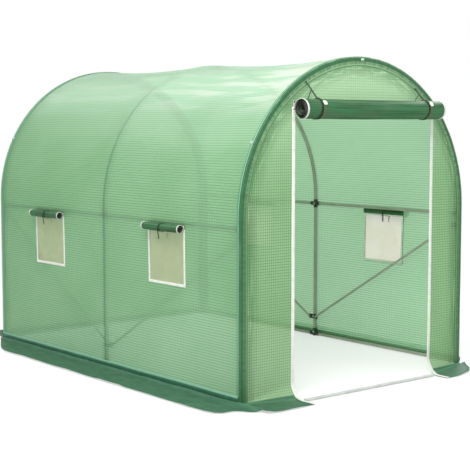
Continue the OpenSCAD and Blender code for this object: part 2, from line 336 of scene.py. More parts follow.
def gloss(tree, colour, rough, normal=None, metal=0.0, **more):
    node = tree.nodes.new("ShaderNodeBsdfPrincipled")
    feed(tree, node.inputs["Base Color"], colour)
    feed(tree, node.inputs["Roughness"], rough)
    node.inputs["Metallic"].default_value = metal
    for key, value in more.items():
        node.inputs[key.replace("_", " ")].default_value = value
    if normal is not None:
        tree.links.new(normal, node.inputs["Normal"])
    return node.outputs[0]


def translucent(tree, colour, normal=None):
    node = tree.nodes.new("ShaderNodeBsdfTranslucent")
    feed(tree, node.inputs["Color"], colour)
    if normal is not None:
        tree.links.new(normal, node.inputs["Normal"])
    return node.outputs[0]


def transparent(tree, colour):
    node = tree.nodes.new("ShaderNodeBsdfTransparent")
    node.inputs["Color"].default_value = colour
    return node.outputs[0]


def mixed(tree, share, first, second):
    node = tree.nodes.new("ShaderNodeMixShader")
    feed(tree, node.inputs[0], share)
    tree.links.new(first, node.inputs[1])
    tree.links.new(second, node.inputs[2])
    return node.outputs[0]


def filmFinish(name, look):  # cloth v is 0 along the crown
    finish, tree, surface = newFinish(name)
    place, along, over, edge = clothPlace(tree)
    fromCrown = calc(tree, "ABSOLUTE", over)
    lineAlong = lines(tree, along, look["pitch"], look["thread"], 0.0008)
    lineOver = lines(tree, over, look["pitch"], look["thread"], 0.0008)
    threads = calc(tree, "MAXIMUM", times(tree, lineAlong, look["uprights"]), lineOver)
    cloud = spread(tree, grain(tree, place, 1.7, 4.0), 0.35, 0.65)
    # paler towards the crown, and towards the top of an end film: painted top light, in the translucent
    # colour too
    paintedTopLight = spread(tree, fromCrown, look["deepAt"], look["paleAt"])
    square = overlay(tree, tint(tree, cloud, look["square"], look["squareDeep"]), paintedTopLight, look["pale"])
    line = tint(tree, paintedTopLight, look["line"], look["paleLine"])
    colour = tint(tree, threads, square, line)

    # painted highlight: pale sheen streaks on the crown, most over the front hoop
    sheenAtHoop = spread(tree, along, -0.85, -1.35, 0.0, look["hoopSheen"])
    paintedSheen = calc(tree, "ADD", grain(tree, place, 7.0, 6.0, (0.25, 2.0, 1), 0.3), sheenAtHoop)
    paintedSheen = spread(tree, paintedSheen, 0.47, 0.63)
    paintedSheen = times(tree, paintedSheen, spread(tree, fromCrown, 0.05, 0.45, 0.25, 1.0))
    sheenAlong = spread(tree, along, look["sheenTo"], look["sheenFrom"], 0.3, look["paintedSheen"])
    paintedSheen = times(tree, paintedSheen, sheenAlong)
    colour = overlay(tree, colour, paintedSheen, look["sheenColour"], paintedTopLight)

    # painted shade near the hems, and a painted shade line where the film lies on the hoop on the haunches
    hemShade = spread(tree, grain(tree, place, 7.0, 4.0, (2.0, 0.5, 1)), 0.30, 0.54, 0.0, look["hemShade"])
    colour = overlay(tree, colour, hemShade, look["shadow"], edge)
    # a darker strip over each hoop: painted shade of the hoop behind the film
    hoopShadeLine = strip(tree, along, -look["hoopShadeR"], look["hoopShadeR"], 0.005)
    hoopShadeLine = times(tree, hoopShadeLine, spread(tree, fromCrown, 0.45, 0.95, 0.0, 0.5))
    colour = overlay(tree, colour, hoopShadeLine, look["hoopShade"])

    crinkle = grain(tree, place, 55.0, 4.0, (1, 0.35, 1))
    normal = relief(tree, calc(tree, "ADD", times(tree, threads, 0.35), crinkle), look["crinkle"])
    front = gloss(tree, colour, look["rough"], normal, Specular_IOR_Level=look["shine"])
    glow = overlay(tree, tint(tree, paintedTopLight, look["glowColour"], look["glowPale"]), hoopShadeLine, look["hoopShade"])
    back = translucent(tree, tint(tree, threads, glow, line), normal)
    film = mixed(tree, look["glow"], front, back)
    seeThrough = spread(tree, threads, 0.0, 1.0, look["clear"], look["clearLine"])
    tree.links.new(mixed(tree, seeThrough, film, transparent(tree, look["clearColour"])), surface)
    return finish


def plainFilmFinish(name, look):  # cloth v is 0 at the seam with the wall
    finish, tree, surface = newFinish(name)
    place, along, over, _ = clothPlace(tree)
    weave = woven(tree, along, over, 0.004, 0.002, 0.0006)
    streak = spread(tree, grain(tree, place, 9.0, 4.0, (1, 3, 1)), 0.3, 0.7)
    creaseAndHighlight = spread(tree, grain(tree, place, 34.0, 3.0, (1, 0.3, 1), look["slant"]), 0.5, 0.8)
    # the lighter creases, and the lighter fade and pale strip along the seam, are painted highlight; the
    # creases are also bumps
    colour = tint(tree, streak, look["colour"], look["deep"])
    colour = overlay(tree, colour, creaseAndHighlight, look["light"], 0.5)
    colour = overlay(tree, colour, weave, look["light"], 0.25)
    offSeam = calc(tree, "ABSOLUTE", over)
    colour = overlay(tree, colour, spread(tree, offSeam, 0.0, look["fade"], 0.6, 0.0), look["light"])
    colour = overlay(tree, colour, strip(tree, offSeam, -0.01, look["paleTo"]), look["pale"])
    height = calc(tree, "ADD", times(tree, weave, 0.15), grain(tree, place, 40.0, 4.0))
    height = calc(tree, "ADD", height, times(tree, creaseAndHighlight, 0.5))
    front = gloss(
        tree, colour, look["rough"], relief(tree, height, look["crinkle"]), Specular_IOR_Level=look["shine"],
    )
    tree.links.new(mixed(tree, look["glow"], front, translucent(tree, colour)), surface)
    return finish


def hemFinish(name, look):  # cloth v runs from the hem's inner edge outwards
    finish, tree, surface = newFinish(name)
    place, along, over, _ = clothPlace(tree)
    fromCrown = calc(tree, "ABSOLUTE", along)
    onArch = spread(tree, fromCrown, look["legFrom"], look["archTo"])
    streak = spread(tree, grain(tree, place, 30.0, 3.0, (1.6, 0.3, 1)), 0.35, 0.65)
    lap = tint(tree, onArch, look["legLap"], look["archLap"])
    colour = tint(tree, spread(tree, over, look["lap"] - 0.001, look["lap"] + 0.001), lap, look["colour"])
    colour = overlay(tree, colour, streak, look["deep"], 0.6)
    seam = tint(tree, spread(tree, fromCrown, 1.0, 0.5), look["legSeam"], look["seam"])
    for low, high, key in look["strips"]:
        colour = overlay(tree, colour, strip(tree, over, low, high), seam if key == "seam" else look[key])
    stitchRow = strip(tree, over, look["stitchAt"] - 0.001, look["stitchAt"] + 0.001)
    stitch = times(tree, stitchRow, lines(tree, along, 0.006, 0.004, 0.0005))
    colour = overlay(tree, colour, stitch, look["stitch"], 0.5)
    height = calc(tree, "ADD", grain(tree, place, 60.0, 3.0), times(tree, stitch, 0.6))
    front = gloss(tree, colour, look["rough"], relief(tree, height, 0.0008), Specular_IOR_Level=0.4)
    tree.links.new(mixed(tree, look["glow"], front, translucent(tree, colour)), surface)
    return finish


def rolledFinish(name, look):  # cloth u runs along the roll, v round it
    finish, tree, surface = newFinish(name)
    place, along, over, _ = clothPlace(tree)
    threads = woven(tree, along, over, 0.016, 0.004, 0.0008)
    stripe = spread(tree, grain(tree, place, 26.0, 3.0, (0.06, 1, 1)), 0.36, 0.64)
    patch = spread(tree, grain(tree, place, 9.0, 3.0, (0.4, 1, 1)), 0.4, 0.7)
    colour = tint(tree, stripe, look["colour"], look["deep"])
    colour = overlay(tree, colour, patch, look["dull"], 0.5)
    colour = overlay(tree, colour, threads, look["light"], 0.3)
    height = calc(tree, "ADD", times(tree, threads, 0.3), grain(tree, place, 30.0, 3.0, (0.1, 1, 1)))
    normal = relief(tree, height, 0.0018)
    tree.links.new(gloss(tree, colour, look["rough"], normal, Specular_IOR_Level=look["shine"]), surface)
    return finish


def tapeFinish(name, look):  # cloth v is 0 along the tape's middle
    finish, tree, surface = newFinish(name)
    place, along, over, _ = clothPlace(tree)
    ribs = lines(tree, along, 0.0012, 0.0006, 0.0003)
    grime = spread(tree, grain(tree, place, 22.0, 3.0), 0.45, 0.75)
    colour = overlay(tree, look["colour"], grime, look["wearAndGrooveShade"], 0.5)
    offMiddle = calc(tree, "ABSOLUTE", over)
    # the middle groove is painted darker: painted shade in the groove, beside its bump
    groove = spread(tree, offMiddle, look["groove"] - 0.0004, look["groove"] + 0.0008, 1.0, 0.0)
    colour = overlay(tree, colour, groove, look["wearAndGrooveShade"], 0.7)
    row = strip(tree, offMiddle, look["stitchAt"] - 0.0006, look["stitchAt"] + 0.0006, 0.0003)
    stitch = times(tree, row, lines(tree, along, 0.005, 0.0034, 0.0004))
    colour = overlay(tree, colour, stitch, look["stitch"], 0.6)
    height = calc(tree, "ADD", times(tree, ribs, 0.4), stitch)
    normal = relief(tree, calc(tree, "SUBTRACT", height, groove), 0.0005)
    tree.links.new(gloss(tree, colour, look["rough"], normal, Specular_IOR_Level=look["shine"]), surface)
    return finish


def netFinish(name, look):
    finish, tree, surface = newFinish(name)
    place, along, over, _ = clothPlace(tree)
    threads = woven(tree, along, over, look["pitch"], look["thread"], 0.0002)
    haze = spread(tree, grain(tree, place, 6.0, 2.0), 0.3, 0.7, look["haze"] * 0.85, look["haze"] * 1.15)
    colour = tint(tree, threads, look["colour"], look["light"])
    body = gloss(tree, colour, 0.6, relief(tree, threads, 0.0004), Specular_IOR_Level=0.3)
    solid = mixed(tree, 0.4, body, translucent(tree, look["light"]))
    shown = calc(tree, "MAXIMUM", threads, haze)
    tree.links.new(mixed(tree, shown, transparent(tree, (1, 1, 1, 1)), solid), surface)
    return finish


def tubeFinish(name, look):
    finish, tree, surface = newFinish(name)
    place = tree.nodes.new("ShaderNodeTexCoord").outputs["Object"]
    cloud = spread(tree, grain(tree, place, look["cloud"], 4.0), 0.35, 0.65)
    scuff = spread(tree, grain(tree, place, 70.0, 5.0), 0.6, 0.75)
    colour = overlay(tree, tint(tree, cloud, look["colour"], look["deep"]), scuff, look["scuff"], 0.3)
    rough = spread(tree, grain(tree, place, 25.0, 3.0), 0.3, 0.7, look["rough"] - 0.02, look["rough"] + 0.03)
    normal = relief(tree, grain(tree, place, 180.0, 3.0), 0.0003)
    tree.links.new(gloss(tree, colour, rough, normal, look["metal"]), surface)
    return finish


# in both film finishes the pale colours are painted top light, the near-white streak colour a painted
# highlight, and the hoop and hem colours painted shade
gridFilm = filmFinish("gridFilm", {
    "square": shade(162, 201, 162), "squareDeep": shade(146, 188, 146), "line": shade(105, 159, 114),
    "pale": shade(203, 232, 208), "paleLine": shade(158, 201, 167), "paleAt": 0.56, "deepAt": 0.92,
    "hoopShade": shade(78, 142, 100), "hoopShadeR": 0.010,
    "glowColour": shade(166, 208, 170), "glowPale": shade(220, 244, 222),
    "clearColour": shade(214, 238, 218), "uprights": 0.6,
    "sheenColour": shade(241, 240, 233), "hoopSheen": 0.10, "paintedSheen": 1.0, "sheenFrom": -1.2, "sheenTo": 0.2,
    "hemShade": 0.0, "shadow": shade(90, 140, 96),
    "pitch": 0.0165, "thread": 0.0042, "clear": 0.20, "clearLine": 0.08, "glow": 0.42,
    "rough": 0.36, "shine": 0.55, "crinkle": 0.0012,
})
endFilm = filmFinish("endFilm", {
    "square": shade(178, 210, 166), "squareDeep": shade(162, 196, 150), "line": shade(110, 158, 108),
    "pale": shade(214, 234, 205), "paleLine": shade(158, 198, 154), "paleAt": 2.0, "deepAt": 1.1,
    "glowColour": shade(174, 208, 162), "glowPale": shade(220, 240, 212),
    "clearColour": shade(214, 232, 206), "uprights": 1.0,
    "sheenColour": shade(214, 228, 200), "hoopSheen": 0.0, "paintedSheen": 0.3, "sheenFrom": 1.0, "sheenTo": 0.0,
    "hemShade": 0.85, "shadow": shade(62, 106, 64),
    "hoopShade": shade(78, 142, 100), "hoopShadeR": -0.05,  # no hoop lies behind an end film's middle
    "pitch": 0.0165, "thread": 0.0044, "clear": 0.26, "clearLine": 0.10, "glow": 0.42,
    "rough": 0.38, "shine": 0.45, "crinkle": 0.0010,
})
plainFilm = plainFilmFinish("plainFilm", {
    "colour": shade(66, 111, 84), "deep": shade(50, 91, 69), "light": shade(88, 136, 108),
    "pale": shade(96, 146, 118), "paleTo": 0.004, "slant": 0.9, "fade": 0.05,
    "rough": 0.42, "shine": 0.45, "glow": 0.2, "crinkle": 0.0014,
})
# the paler arch lap and seam are painted top light; edge is a painted shadow inside the hem's inner edge,
# and rim a painted highlight where the hem turns over the hoop
hemLook = {
    "colour": shade(58, 116, 76), "deep": shade(46, 98, 62), "legLap": shade(86, 130, 80),
    "archLap": shade(136, 172, 128), "legFrom": 1.75, "archTo": 0.9, "lap": 0.022,
    "edge": shade(88, 134, 90), "seam": shade(142, 188, 142), "legSeam": shade(104, 150, 104),
    "lapEdge": shade(100, 150, 104), "rim": shade(136, 192, 158), "side": shade(66, 126, 90),
    "stitch": shade(150, 190, 160), "stitchAt": 0.0045,
    "strips": [  # each strip's two edges and its colour
        (-0.010, -0.001, "edge"), (-0.001, 0.006, "seam"), (0.0205, 0.0235, "lapEdge"),
        (0.056, 0.064, "rim"), (0.064, 0.2, "side"),
    ],
    "rough": 0.42, "glow": 0.25,
}
hemFilm = hemFinish("hemFilm", hemLook)
# the rear hem is a lighter copy: a painted highlight along its rim and its lap over the roof
rearHemLitLook = {**hemLook, "side": shade(104, 160, 120), "rim": shade(170, 210, 180)}
rearHemHighlitFilm = hemFinish("rearHemHighlitFilm", rearHemLitLook)
# the band's pale top strip is painted top light on the pocket
bandFilm = plainFilmFinish("bandFilm", {
    "colour": shade(50, 104, 78), "deep": shade(40, 90, 66), "light": shade(84, 142, 114),
    "pale": shade(112, 168, 140), "paleTo": 0.015, "slant": 0.0, "fade": 0.02,
    "rough": 0.4, "shine": 0.45, "glow": 0.15, "crinkle": 0.0012,
})
rolledFilm = rolledFinish("rolledFilm", {
    "colour": shade(42, 102, 60), "deep": shade(24, 66, 30), "dull": shade(74, 94, 68),
    "light": shade(78, 134, 92), "rough": 0.48, "shine": 0.22,
})
whiteTape = tapeFinish("whiteTape", {
    "colour": shade(232, 234, 226), "wearAndGrooveShade": shade(192, 198, 186), "stitch": shade(168, 172, 160),
    "groove": 0.0014, "stitchAt": 0.0075, "rough": 0.5, "shine": 0.35,
})
rollBinding = tapeFinish("rollBinding", {
    "colour": shade(218, 222, 212), "wearAndGrooveShade": shade(182, 188, 176), "stitch": shade(150, 154, 148),
    "groove": 0.0, "stitchAt": 0.003, "rough": 0.5, "shine": 0.35,
})
shadedBinding = tapeFinish("shadedBinding", {
    "colour": shade(78, 79, 72), "wearAndGrooveShade": shade(46, 48, 42), "stitch": shade(108, 108, 100),
    "groove": 0.0, "stitchAt": 0.003, "rough": 0.6, "shine": 0.3,
})
oliveWebbing = tapeFinish("oliveWebbing", {
    "colour": shade(82, 98, 62), "wearAndGrooveShade": shade(64, 78, 50), "stitch": shade(120, 128, 96),
    "groove": 0.0, "stitchAt": 0.0055, "rough": 0.7, "shine": 0.3,
})
hangWebbing = tapeFinish("hangWebbing", {
    "colour": shade(52, 78, 50), "wearAndGrooveShade": shade(40, 58, 38), "stitch": shade(86, 104, 78),
    "groove": 0.0, "stitchAt": 0.0035, "rough": 0.7, "shine": 0.3,
})
blackWebbing = tapeFinish("blackWebbing", {
    "colour": shade(18, 26, 18), "wearAndGrooveShade": shade(34, 40, 32), "stitch": shade(60, 66, 58),
    "groove": 0.0, "stitchAt": 0.003, "rough": 0.65, "shine": 0.3,
})
windowNet = netFinish("windowNet", {
    "colour": shade(196, 194, 160), "light": shade(208, 206, 174),
    "pitch": 0.0022, "thread": 0.0003, "haze": 0.60,
})
coatedTube = tubeFinish("coatedTube", {
    "colour": shade(164, 168, 154), "deep": shade(156, 160, 146), "scuff": shade(172, 175, 162),
    "cloud": 9.0, "rough": 0.34, "metal": 0.3,
})
brightTube = tubeFinish("brightTube", {
    "colour": shade(196, 200, 196), "deep": shade(184, 188, 186), "scuff": shade(208, 210, 206),
    "cloud": 16.0, "rough": 0.34, "metal": 0.15,
})
darkMoulding = tubeFinish("darkMoulding", {
    "colour": shade(46, 54, 48), "deep": shade(36, 44, 38), "scuff": shade(70, 78, 70),
    "cloud": 20.0, "rough": 0.5, "metal": 0.0,
})
whiteMoulding = tubeFinish("whiteMoulding", {
    "colour": shade(232, 236, 228), "deep": shade(216, 222, 212), "scuff": shade(244, 246, 240),
    "cloud": 20.0, "rough": 0.35, "metal": 0.0,
})
zincScrew = tubeFinish("zincScrew", {
    "colour": shade(172, 196, 176), "deep": shade(140, 164, 146), "scuff": shade(200, 214, 200),
    "cloud": 60.0, "rough": 0.35, "metal": 0.5,
})
print("materials made:", len(bpy.data.materials))


# ---------- the frame keeps its CAD shapes

for finish, nodeNames in (
    (coatedTube, ["front_hoop", "middle_hoop", "rear_hoop", "ridge_rail", "left_braces", "right_braces"]),
    (coatedTube, ["left_side_rail", "right_side_rail", "left_base_rail", "right_base_rail"]),
    (brightTube, ["door_sill_tube", "rear_cross_rail"]),
    (darkMoulding, ["ridge_fittings", "side_rail_fittings", "base_fittings", "brace_clips"]),
):
    for nodeName in nodeNames:
        for holder in nodes[nodeName].material_slots:
            holder.material = finish
print("frame tubes and connectors finished")


# ---------- the film over the hoops

cover = {
    "mesh": 0.02,
    "overrun": 0.004,  # how far the film runs past the end hoops' middles, under the hems
    "crownSag": 0.0262,  # half-way between two hoops
    "wallSag": 0.007,
    "shake": 0.0016,
    "haunchWrinkle": 0.0016,
    # each fold: (y, distance from the crown) where it starts and ends, width, depth
    "folds": [
        ((-1.36, -0.06), (-0.45, -0.16), 0.028, 0.0085),
        ((-1.36, -0.14), (-0.30, -0.33), 0.030, 0.0095),
        ((-1.36, -0.26), (-0.40, -0.52), 0.034, 0.0080),
        ((-1.37, -0.20), (-0.80, -0.30), 0.020, -0.0050),
        ((-0.04, -0.10), (-0.70, -0.20), 0.034, 0.0045),
        ((0.05, -0.12), (0.90, -0.30), 0.036, 0.0050),
        ((1.35, -0.10), (0.45, -0.40), 0.040, 0.0050),
        ((-1.35, 0.10), (-0.30, 0.26), 0.034, 0.0050),
        ((-1.30, 0.22), (-0.50, 0.48), 0.040, 0.0045),
        ((0.06, 0.10), (0.85, 0.24), 0.034, 0.0050),
        ((1.33, 0.16), (0.40, 0.44), 0.040, 0.0050),
        ((-1.30, -1.10), (-0.70, -1.45), 0.050, 0.0030),
        ((-0.10, -1.20), (-0.60, -1.60), 0.050, 0.0030),
        ((0.10, -1.15), (0.70, -1.55), 0.050, 0.0030),
    ],
}


def bayShape(y):  # 0 over the hoops, 1 half-way between them
    share = np.clip(np.abs(y) / endY, 0, 1)
    return 4 * share * (1 - share)


def foldDepth(y, s, fold):
    (startY, startS), (stopY, stopS), width, depth = fold
    runY, runS = stopY - startY, stopS - startS
    length = math.hypot(runY, runS)
    along = ((y - startY) * runY + (s - startS) * runS) / length**2
    beside = ((y - startY) * runS - (s - startS) * runY) / length
    wide = width * (0.45 + 0.9 * np.clip(along, 0, 1))
    return depth * np.exp(-((beside / wide) ** 2)) * np.sin(math.pi * np.clip(along, 0, 1))


def coverRadius(y, s):  # s runs over the crown, left negative
    turn = np.clip(s / skinR, -math.pi / 2, math.pi / 2)
    drop = np.clip(np.abs(s) - halfArch, 0, None)
    height = legTop - drop
    bay = bayShape(y)
    crownSag = cover["crownSag"] * np.cos(0.85 * turn) ** 2
    wallSag = cover["wallSag"] * np.sin(math.pi * np.clip((railZ - height) / railZ, 0, 1))
    sag = (crownSag + wallSag) * bay
    free = ease(bay, 0.0, 0.35)
    for fold in cover["folds"]:
        sag = sag + foldDepth(y, s, fold)
    foot = ease(height, 0.04, 0.25)
    sag = sag - cover["shake"] * softNoise(y / 0.21 + 3.3, s / 0.27 + 40.7, 11) * free * foot
    nearHoop = np.minimum(np.abs(y), np.abs(endY - np.abs(y)))
    haunch = ease(np.abs(turn), 0.3, 0.7)
    wrinkle = softNoise(s / 0.034 + 21.2 + y * 3, y / 0.3 + 9.1, 23)
    fade = np.exp(-nearHoop / 0.10) * ease(nearHoop, 0.0, 0.03) * foot
    sag = sag + cover["haunchWrinkle"] * wrinkle * fade * haunch
    floor = np.where(np.abs(s) < 0.05, ridgeTopR + 0.002, 0.0)
    return np.maximum(skinR - sag, floor)


def stacked(*parts):  # points or cloth places from parts of like shapes
    return np.stack(np.broadcast_arrays(*parts), axis=-1)


def archPoint(s, r):  # x and z at a distance r from the arch's middle
    turn = np.clip(s / skinR, -math.pi / 2, math.pi / 2)
    drop = np.clip(np.abs(s) - halfArch, 0, None)
    return r * np.sin(turn), legTop + r * np.cos(turn) - drop


def wallPoint(side, y, z, lift):  # on the film of a side wall
    r = coverRadius(y, side * (halfArch + legTop - z))
    return stacked(side * (r + lift), y, z)


windowBoxes = {}
for side, sideName in ((-1, "left"), (1, "right")):
    netPoints = np.array([v.co for v in nodes[sideName + "_window_nets"].data.vertices])
    for end, endName in ((-1, "Front"), (1, "Rear")):
        near = netPoints[netPoints[:, 1] * end > 0]
        windowBoxes[sideName + endName] = (side, near.min(axis=0), near.max(axis=0))
_, cutLow, cutHigh = windowBoxes["leftRear"]
cutYs, cutZs = ((float(cutLow[item]), float(cutHigh[item])) for item in (1, 2))

endRun = endY + cover["overrun"]
yStops = [-endRun, -endY, -cutYs[1], -cutYs[0], 0, cutYs[0], cutYs[1], endY, endRun]
girthStops = [halfArch] + [halfArch + legTop - z for z in (cutZs[1], cutZs[0], footZ)]
halfGirth = steps([0] + girthStops, cover["mesh"])
girth = np.concatenate([-halfGirth[:0:-1], halfGirth])
coverYs = steps(yStops, cover["mesh"])
gridY, gridS = np.meshgrid(coverYs, girth, indexing="ij")
coverX, coverZ = archPoint(gridS, coverRadius(gridY, gridS))
coverPoints = stacked(coverX, gridY, coverZ)
middleY = (coverYs[:-1] + coverYs[1:]) / 2
middleS = np.abs((girth[:-1] + girth[1:]) / 2)
cutAlong = (np.abs(middleY) > cutYs[0]) & (np.abs(middleY) < cutYs[1])
cutDown = (middleS > girthStops[1]) & (middleS < girthStops[2])
keepCell = ~(cutAlong[:, None] & cutDown[None, :])
coverPiece = sheetPiece("cover", coverPoints, stacked(gridY, gridS), keepCell)
install(coverPiece, "grid_film", gridFilm, "left_wall", "right_wall", "left_roof", "right_roof")
print("cover made:", len(coverPiece.data.polygons), "faces")


# ---------- front and rear ends

ends = {
    "mesh": 0.02,
    "wave": 0.0045,
    "flareStart": (0.012, 0.075),  # height where the film leaves the upright, at the hoop and at the door
    "flareReach": (0.020, 0.105),
    "filmEnds": (0.004, 0.012),  # height where the plain flap film takes over
    "drawn": (0.080, 0.117),  # how far the left and right feet are drawn sideways at the doorway
    "drawnBy": 0.20,  # distance ahead of the film where they are fully drawn
    "onGround": 0.1,  # length of the curve where the film turns onto the ground
    "onGroundArea": 0.05,
    "edgeReach": 0.17,  # how far inside the arch the painted shade by the hem ends
}


def archTop(x, r):
    return legTop + np.sqrt(np.clip(r * r - x * x, 0, None))


def faceWave(x, z, seed):  # small waves of a hanging end film
    inside = ease(archTop(x, gableR) - z, 0.03, 0.3) * ease(gableR - np.abs(x), 0.05, 0.18)
    slow = softNoise(x / 0.16 + 5.2, z / 0.6 + 1.7, seed)
    slant = softNoise((x + 0.5 * z) / 0.22 + 8.2, (z - 0.5 * x) / 0.5 + 3.1, seed + 1)
    return ends["wave"] * inside * (1 + 0.6 * slow + 0.4 * slant) / 2


def doorShare(x):  # 0 at the hoop leg, 1 at the doorway's edge
    left = (x + gableR) / (doorLeft + gableR)
    right = (gableR - x) / (gableR - doorRight)
    return np.clip(np.minimum(np.where(x < 0, left, 1), np.where(x > 0, right, 1)), 0, 1)


def flareSize(x):
    share = ease(doorShare(x), 0.0, 1.0)
    low, high = ends["flareStart"]
    near, far = ends["flareReach"]
    filmLow, filmHigh = ends["filmEnds"]
    filmEnd = filmLow + (filmHigh - filmLow) * share
    return low + (high - low) * share, near + (far - near) * share, filmEnd


def footShift(x, ahead):
    left, right = ends["drawn"]
    far = np.where(np.asarray(x) < 0, left, right)
    return -far * doorShare(x) ** 1.5 * ease(ahead, -0.01, ends["drawnBy"])


def flarePoint(x, turn):  # turn 0 is upright, a quarter turn is flat on the ground
    height, reach, _ = flareSize(x)
    ahead = reach * (1 - np.cos(turn))
    z = height * (1 - np.sin(turn)) + filmHalf
    return stacked(x + footShift(x, ahead), -faceY - ahead, z)


sideAngle = math.asin(doorLeft / gableR), math.asin(doorRight / gableR)
columnTurn = steps([-math.pi / 2, sideAngle[0], sideAngle[1], math.pi / 2], ends["mesh"] / gableR)
columnX = gableR * np.sin(columnTurn)
for doorSide in (doorLeft, doorRight):
    columnX[np.argmin(np.abs(columnX - doorSide))] = doorSide
flareHeight, _, filmEnd = flareSize(columnX)
topZ = archTop(columnX, gableR)
edgeShare = (doorTop - flareHeight.max()) / (archTop(doorLeft, gableR) - flareHeight.max())
middleZ = np.where(doorShare(columnX) < 1, flareHeight + (topZ - flareHeight) * edgeShare, doorTop)
lastTurn = np.arcsin(1 - filmEnd / flareHeight)
lowRows = np.linspace(0, 1, 76)
highRows = np.linspace(0, 1, 20)[1:]
bendRows = np.linspace(1, 0, 9)[:-1]
bend = flarePoint(columnX[None], bendRows[:, None] * lastTurn[None])
lowZ = flareHeight + (middleZ - flareHeight) * lowRows[:, None]
highZ = middleZ + (topZ - middleZ) * highRows[:, None]
upright = np.concatenate([lowZ, highZ])
uprightY = -faceY - faceWave(columnX, upright, 31) * ease(upright - flareHeight, 0.0, 0.2)
endPoints = np.concatenate([bend, stacked(columnX, uprightY, upright + filmHalf)])
heights = runLength(endPoints)
heights = heights + topZ - heights[-1]


def edgeNearness(x, z):  # 1 beside the hem, 0 well inside the end film
    gap = gableR - np.hypot(x, np.clip(z - legTop, 0, None))
    return 1 - ease(gap, hemWidth, ends["edgeReach"])


endEdge = edgeNearness(endPoints[:, :, 0], endPoints[:, :, 2])
endCloth = stacked(columnX, heights, endEdge)
cellX = (columnX[:-1] + columnX[1:]) / 2
inDoor = (cellX > doorLeft) & (cellX < doorRight)
belowTop = np.arange(len(endPoints) - 1) < len(bendRows) + len(lowRows) - 1
endKeep = ~(inDoor[None, :] & belowTop[:, None])
frontFilm = sheetPiece("frontFilm", endPoints, endCloth, endKeep)
install(frontFilm, "grid_film", endFilm, "front_panel_left", "front_panel_right", "front_panel_top")

rearZ = footZ + (topZ - footZ) * np.linspace(0, 1, 97)[:, None]
rearY = faceY + faceWave(columnX, rearZ, 37) * ease(rearZ, 0.02, 0.3)
rearCloth = stacked(columnX, rearZ, edgeNearness(columnX, rearZ))
rearFilm = sheetPiece("rearFilm", stacked(columnX, rearY, rearZ), rearCloth, flip=True)
install(rearFilm, "grid_film", endFilm, "rear_panel")
print("end films made")


# ---------- hems that wrap the end hoops

hem = {
    "corner": 0.0185,  # radius round the hoop
    "back": (0.007, 0.040),  # how far the front and rear hems lap over the roof
    "proud": 0.0012,
    "gather": 0.0010,  # height of the small gathers along its inner edge
    "gatherRun": 0.027,
    "inner": 0.007,  # the lap strip inside the hem's inner edge
    "mesh": 0.009,
    "shake": 0.0004,
    "clear": 0.002,  # lowest height of a hem's foot
}


def hemPiece(name, end):
    outer = skinR + hem["proud"]
    cornerR, cornerY = outer - hem["corner"], hemFace + hem["proud"] - hem["corner"]
    flatR = np.linspace(hemInner - hem["inner"], cornerR, 9)
    section = [(r, hemFace + hem["proud"] * 0.6) for r in flatR[:-1]]
    for turn in np.linspace(0, math.pi / 2, 8):
        section.append((cornerR + hem["corner"] * math.sin(turn), cornerY + hem["corner"] * math.cos(turn)))
    for share in (0.3, 0.7, 1.0):
        section.append((outer, cornerY - hem["back"][0 if end < 0 else 1] * share))
    section = np.array(section)
    acrossRun = runLength(section) - hem["inner"]
    along = steps([-halfGirth[-1], -halfArch, halfArch, halfGirth[-1]], hem["mesh"])[:, None]
    onArch = ease(halfArch - np.abs(along), -0.25, 0.15)
    nearInner = 1 - ease(acrossRun, -0.008, 0.030)
    slanted = along + 0.35 * (acrossRun - 0.03) * np.sign(along)
    gathers = np.abs(softNoise(slanted / hem["gatherRun"] + 13.1, acrossRun / 0.09 + 2.2, 41))
    lift = hem["gather"] * gathers * nearInner * onArch
    lift = lift + hem["shake"] * (1 + softNoise(along / 0.07 + 2.3, acrossRun / 0.05, 43))
    onFace = 1 - ease(acrossRun, 0.036, 0.056)
    x, z = archPoint(along, section[:, 0] + lift * (1 - onFace))
    y = end * (section[:, 1] + lift * onFace)
    points, cloth = stacked(x, y, np.maximum(z, hem["clear"])), stacked(along, acrossRun)
    return sheetPiece(name, points, cloth, flip=end < 0), float(acrossRun[-1] - acrossRun[0])


for endName, end, finish in (("front", -1, hemFilm), ("rear", 1, rearHemHighlitFilm)):
    piece, hemReach = hemPiece(endName + "Hem", end)
    install(piece, "plain_film", finish, endName + "_hem")
print("hems made")


# ---------- flaps on the ground, with the pocket along the foot of each wall

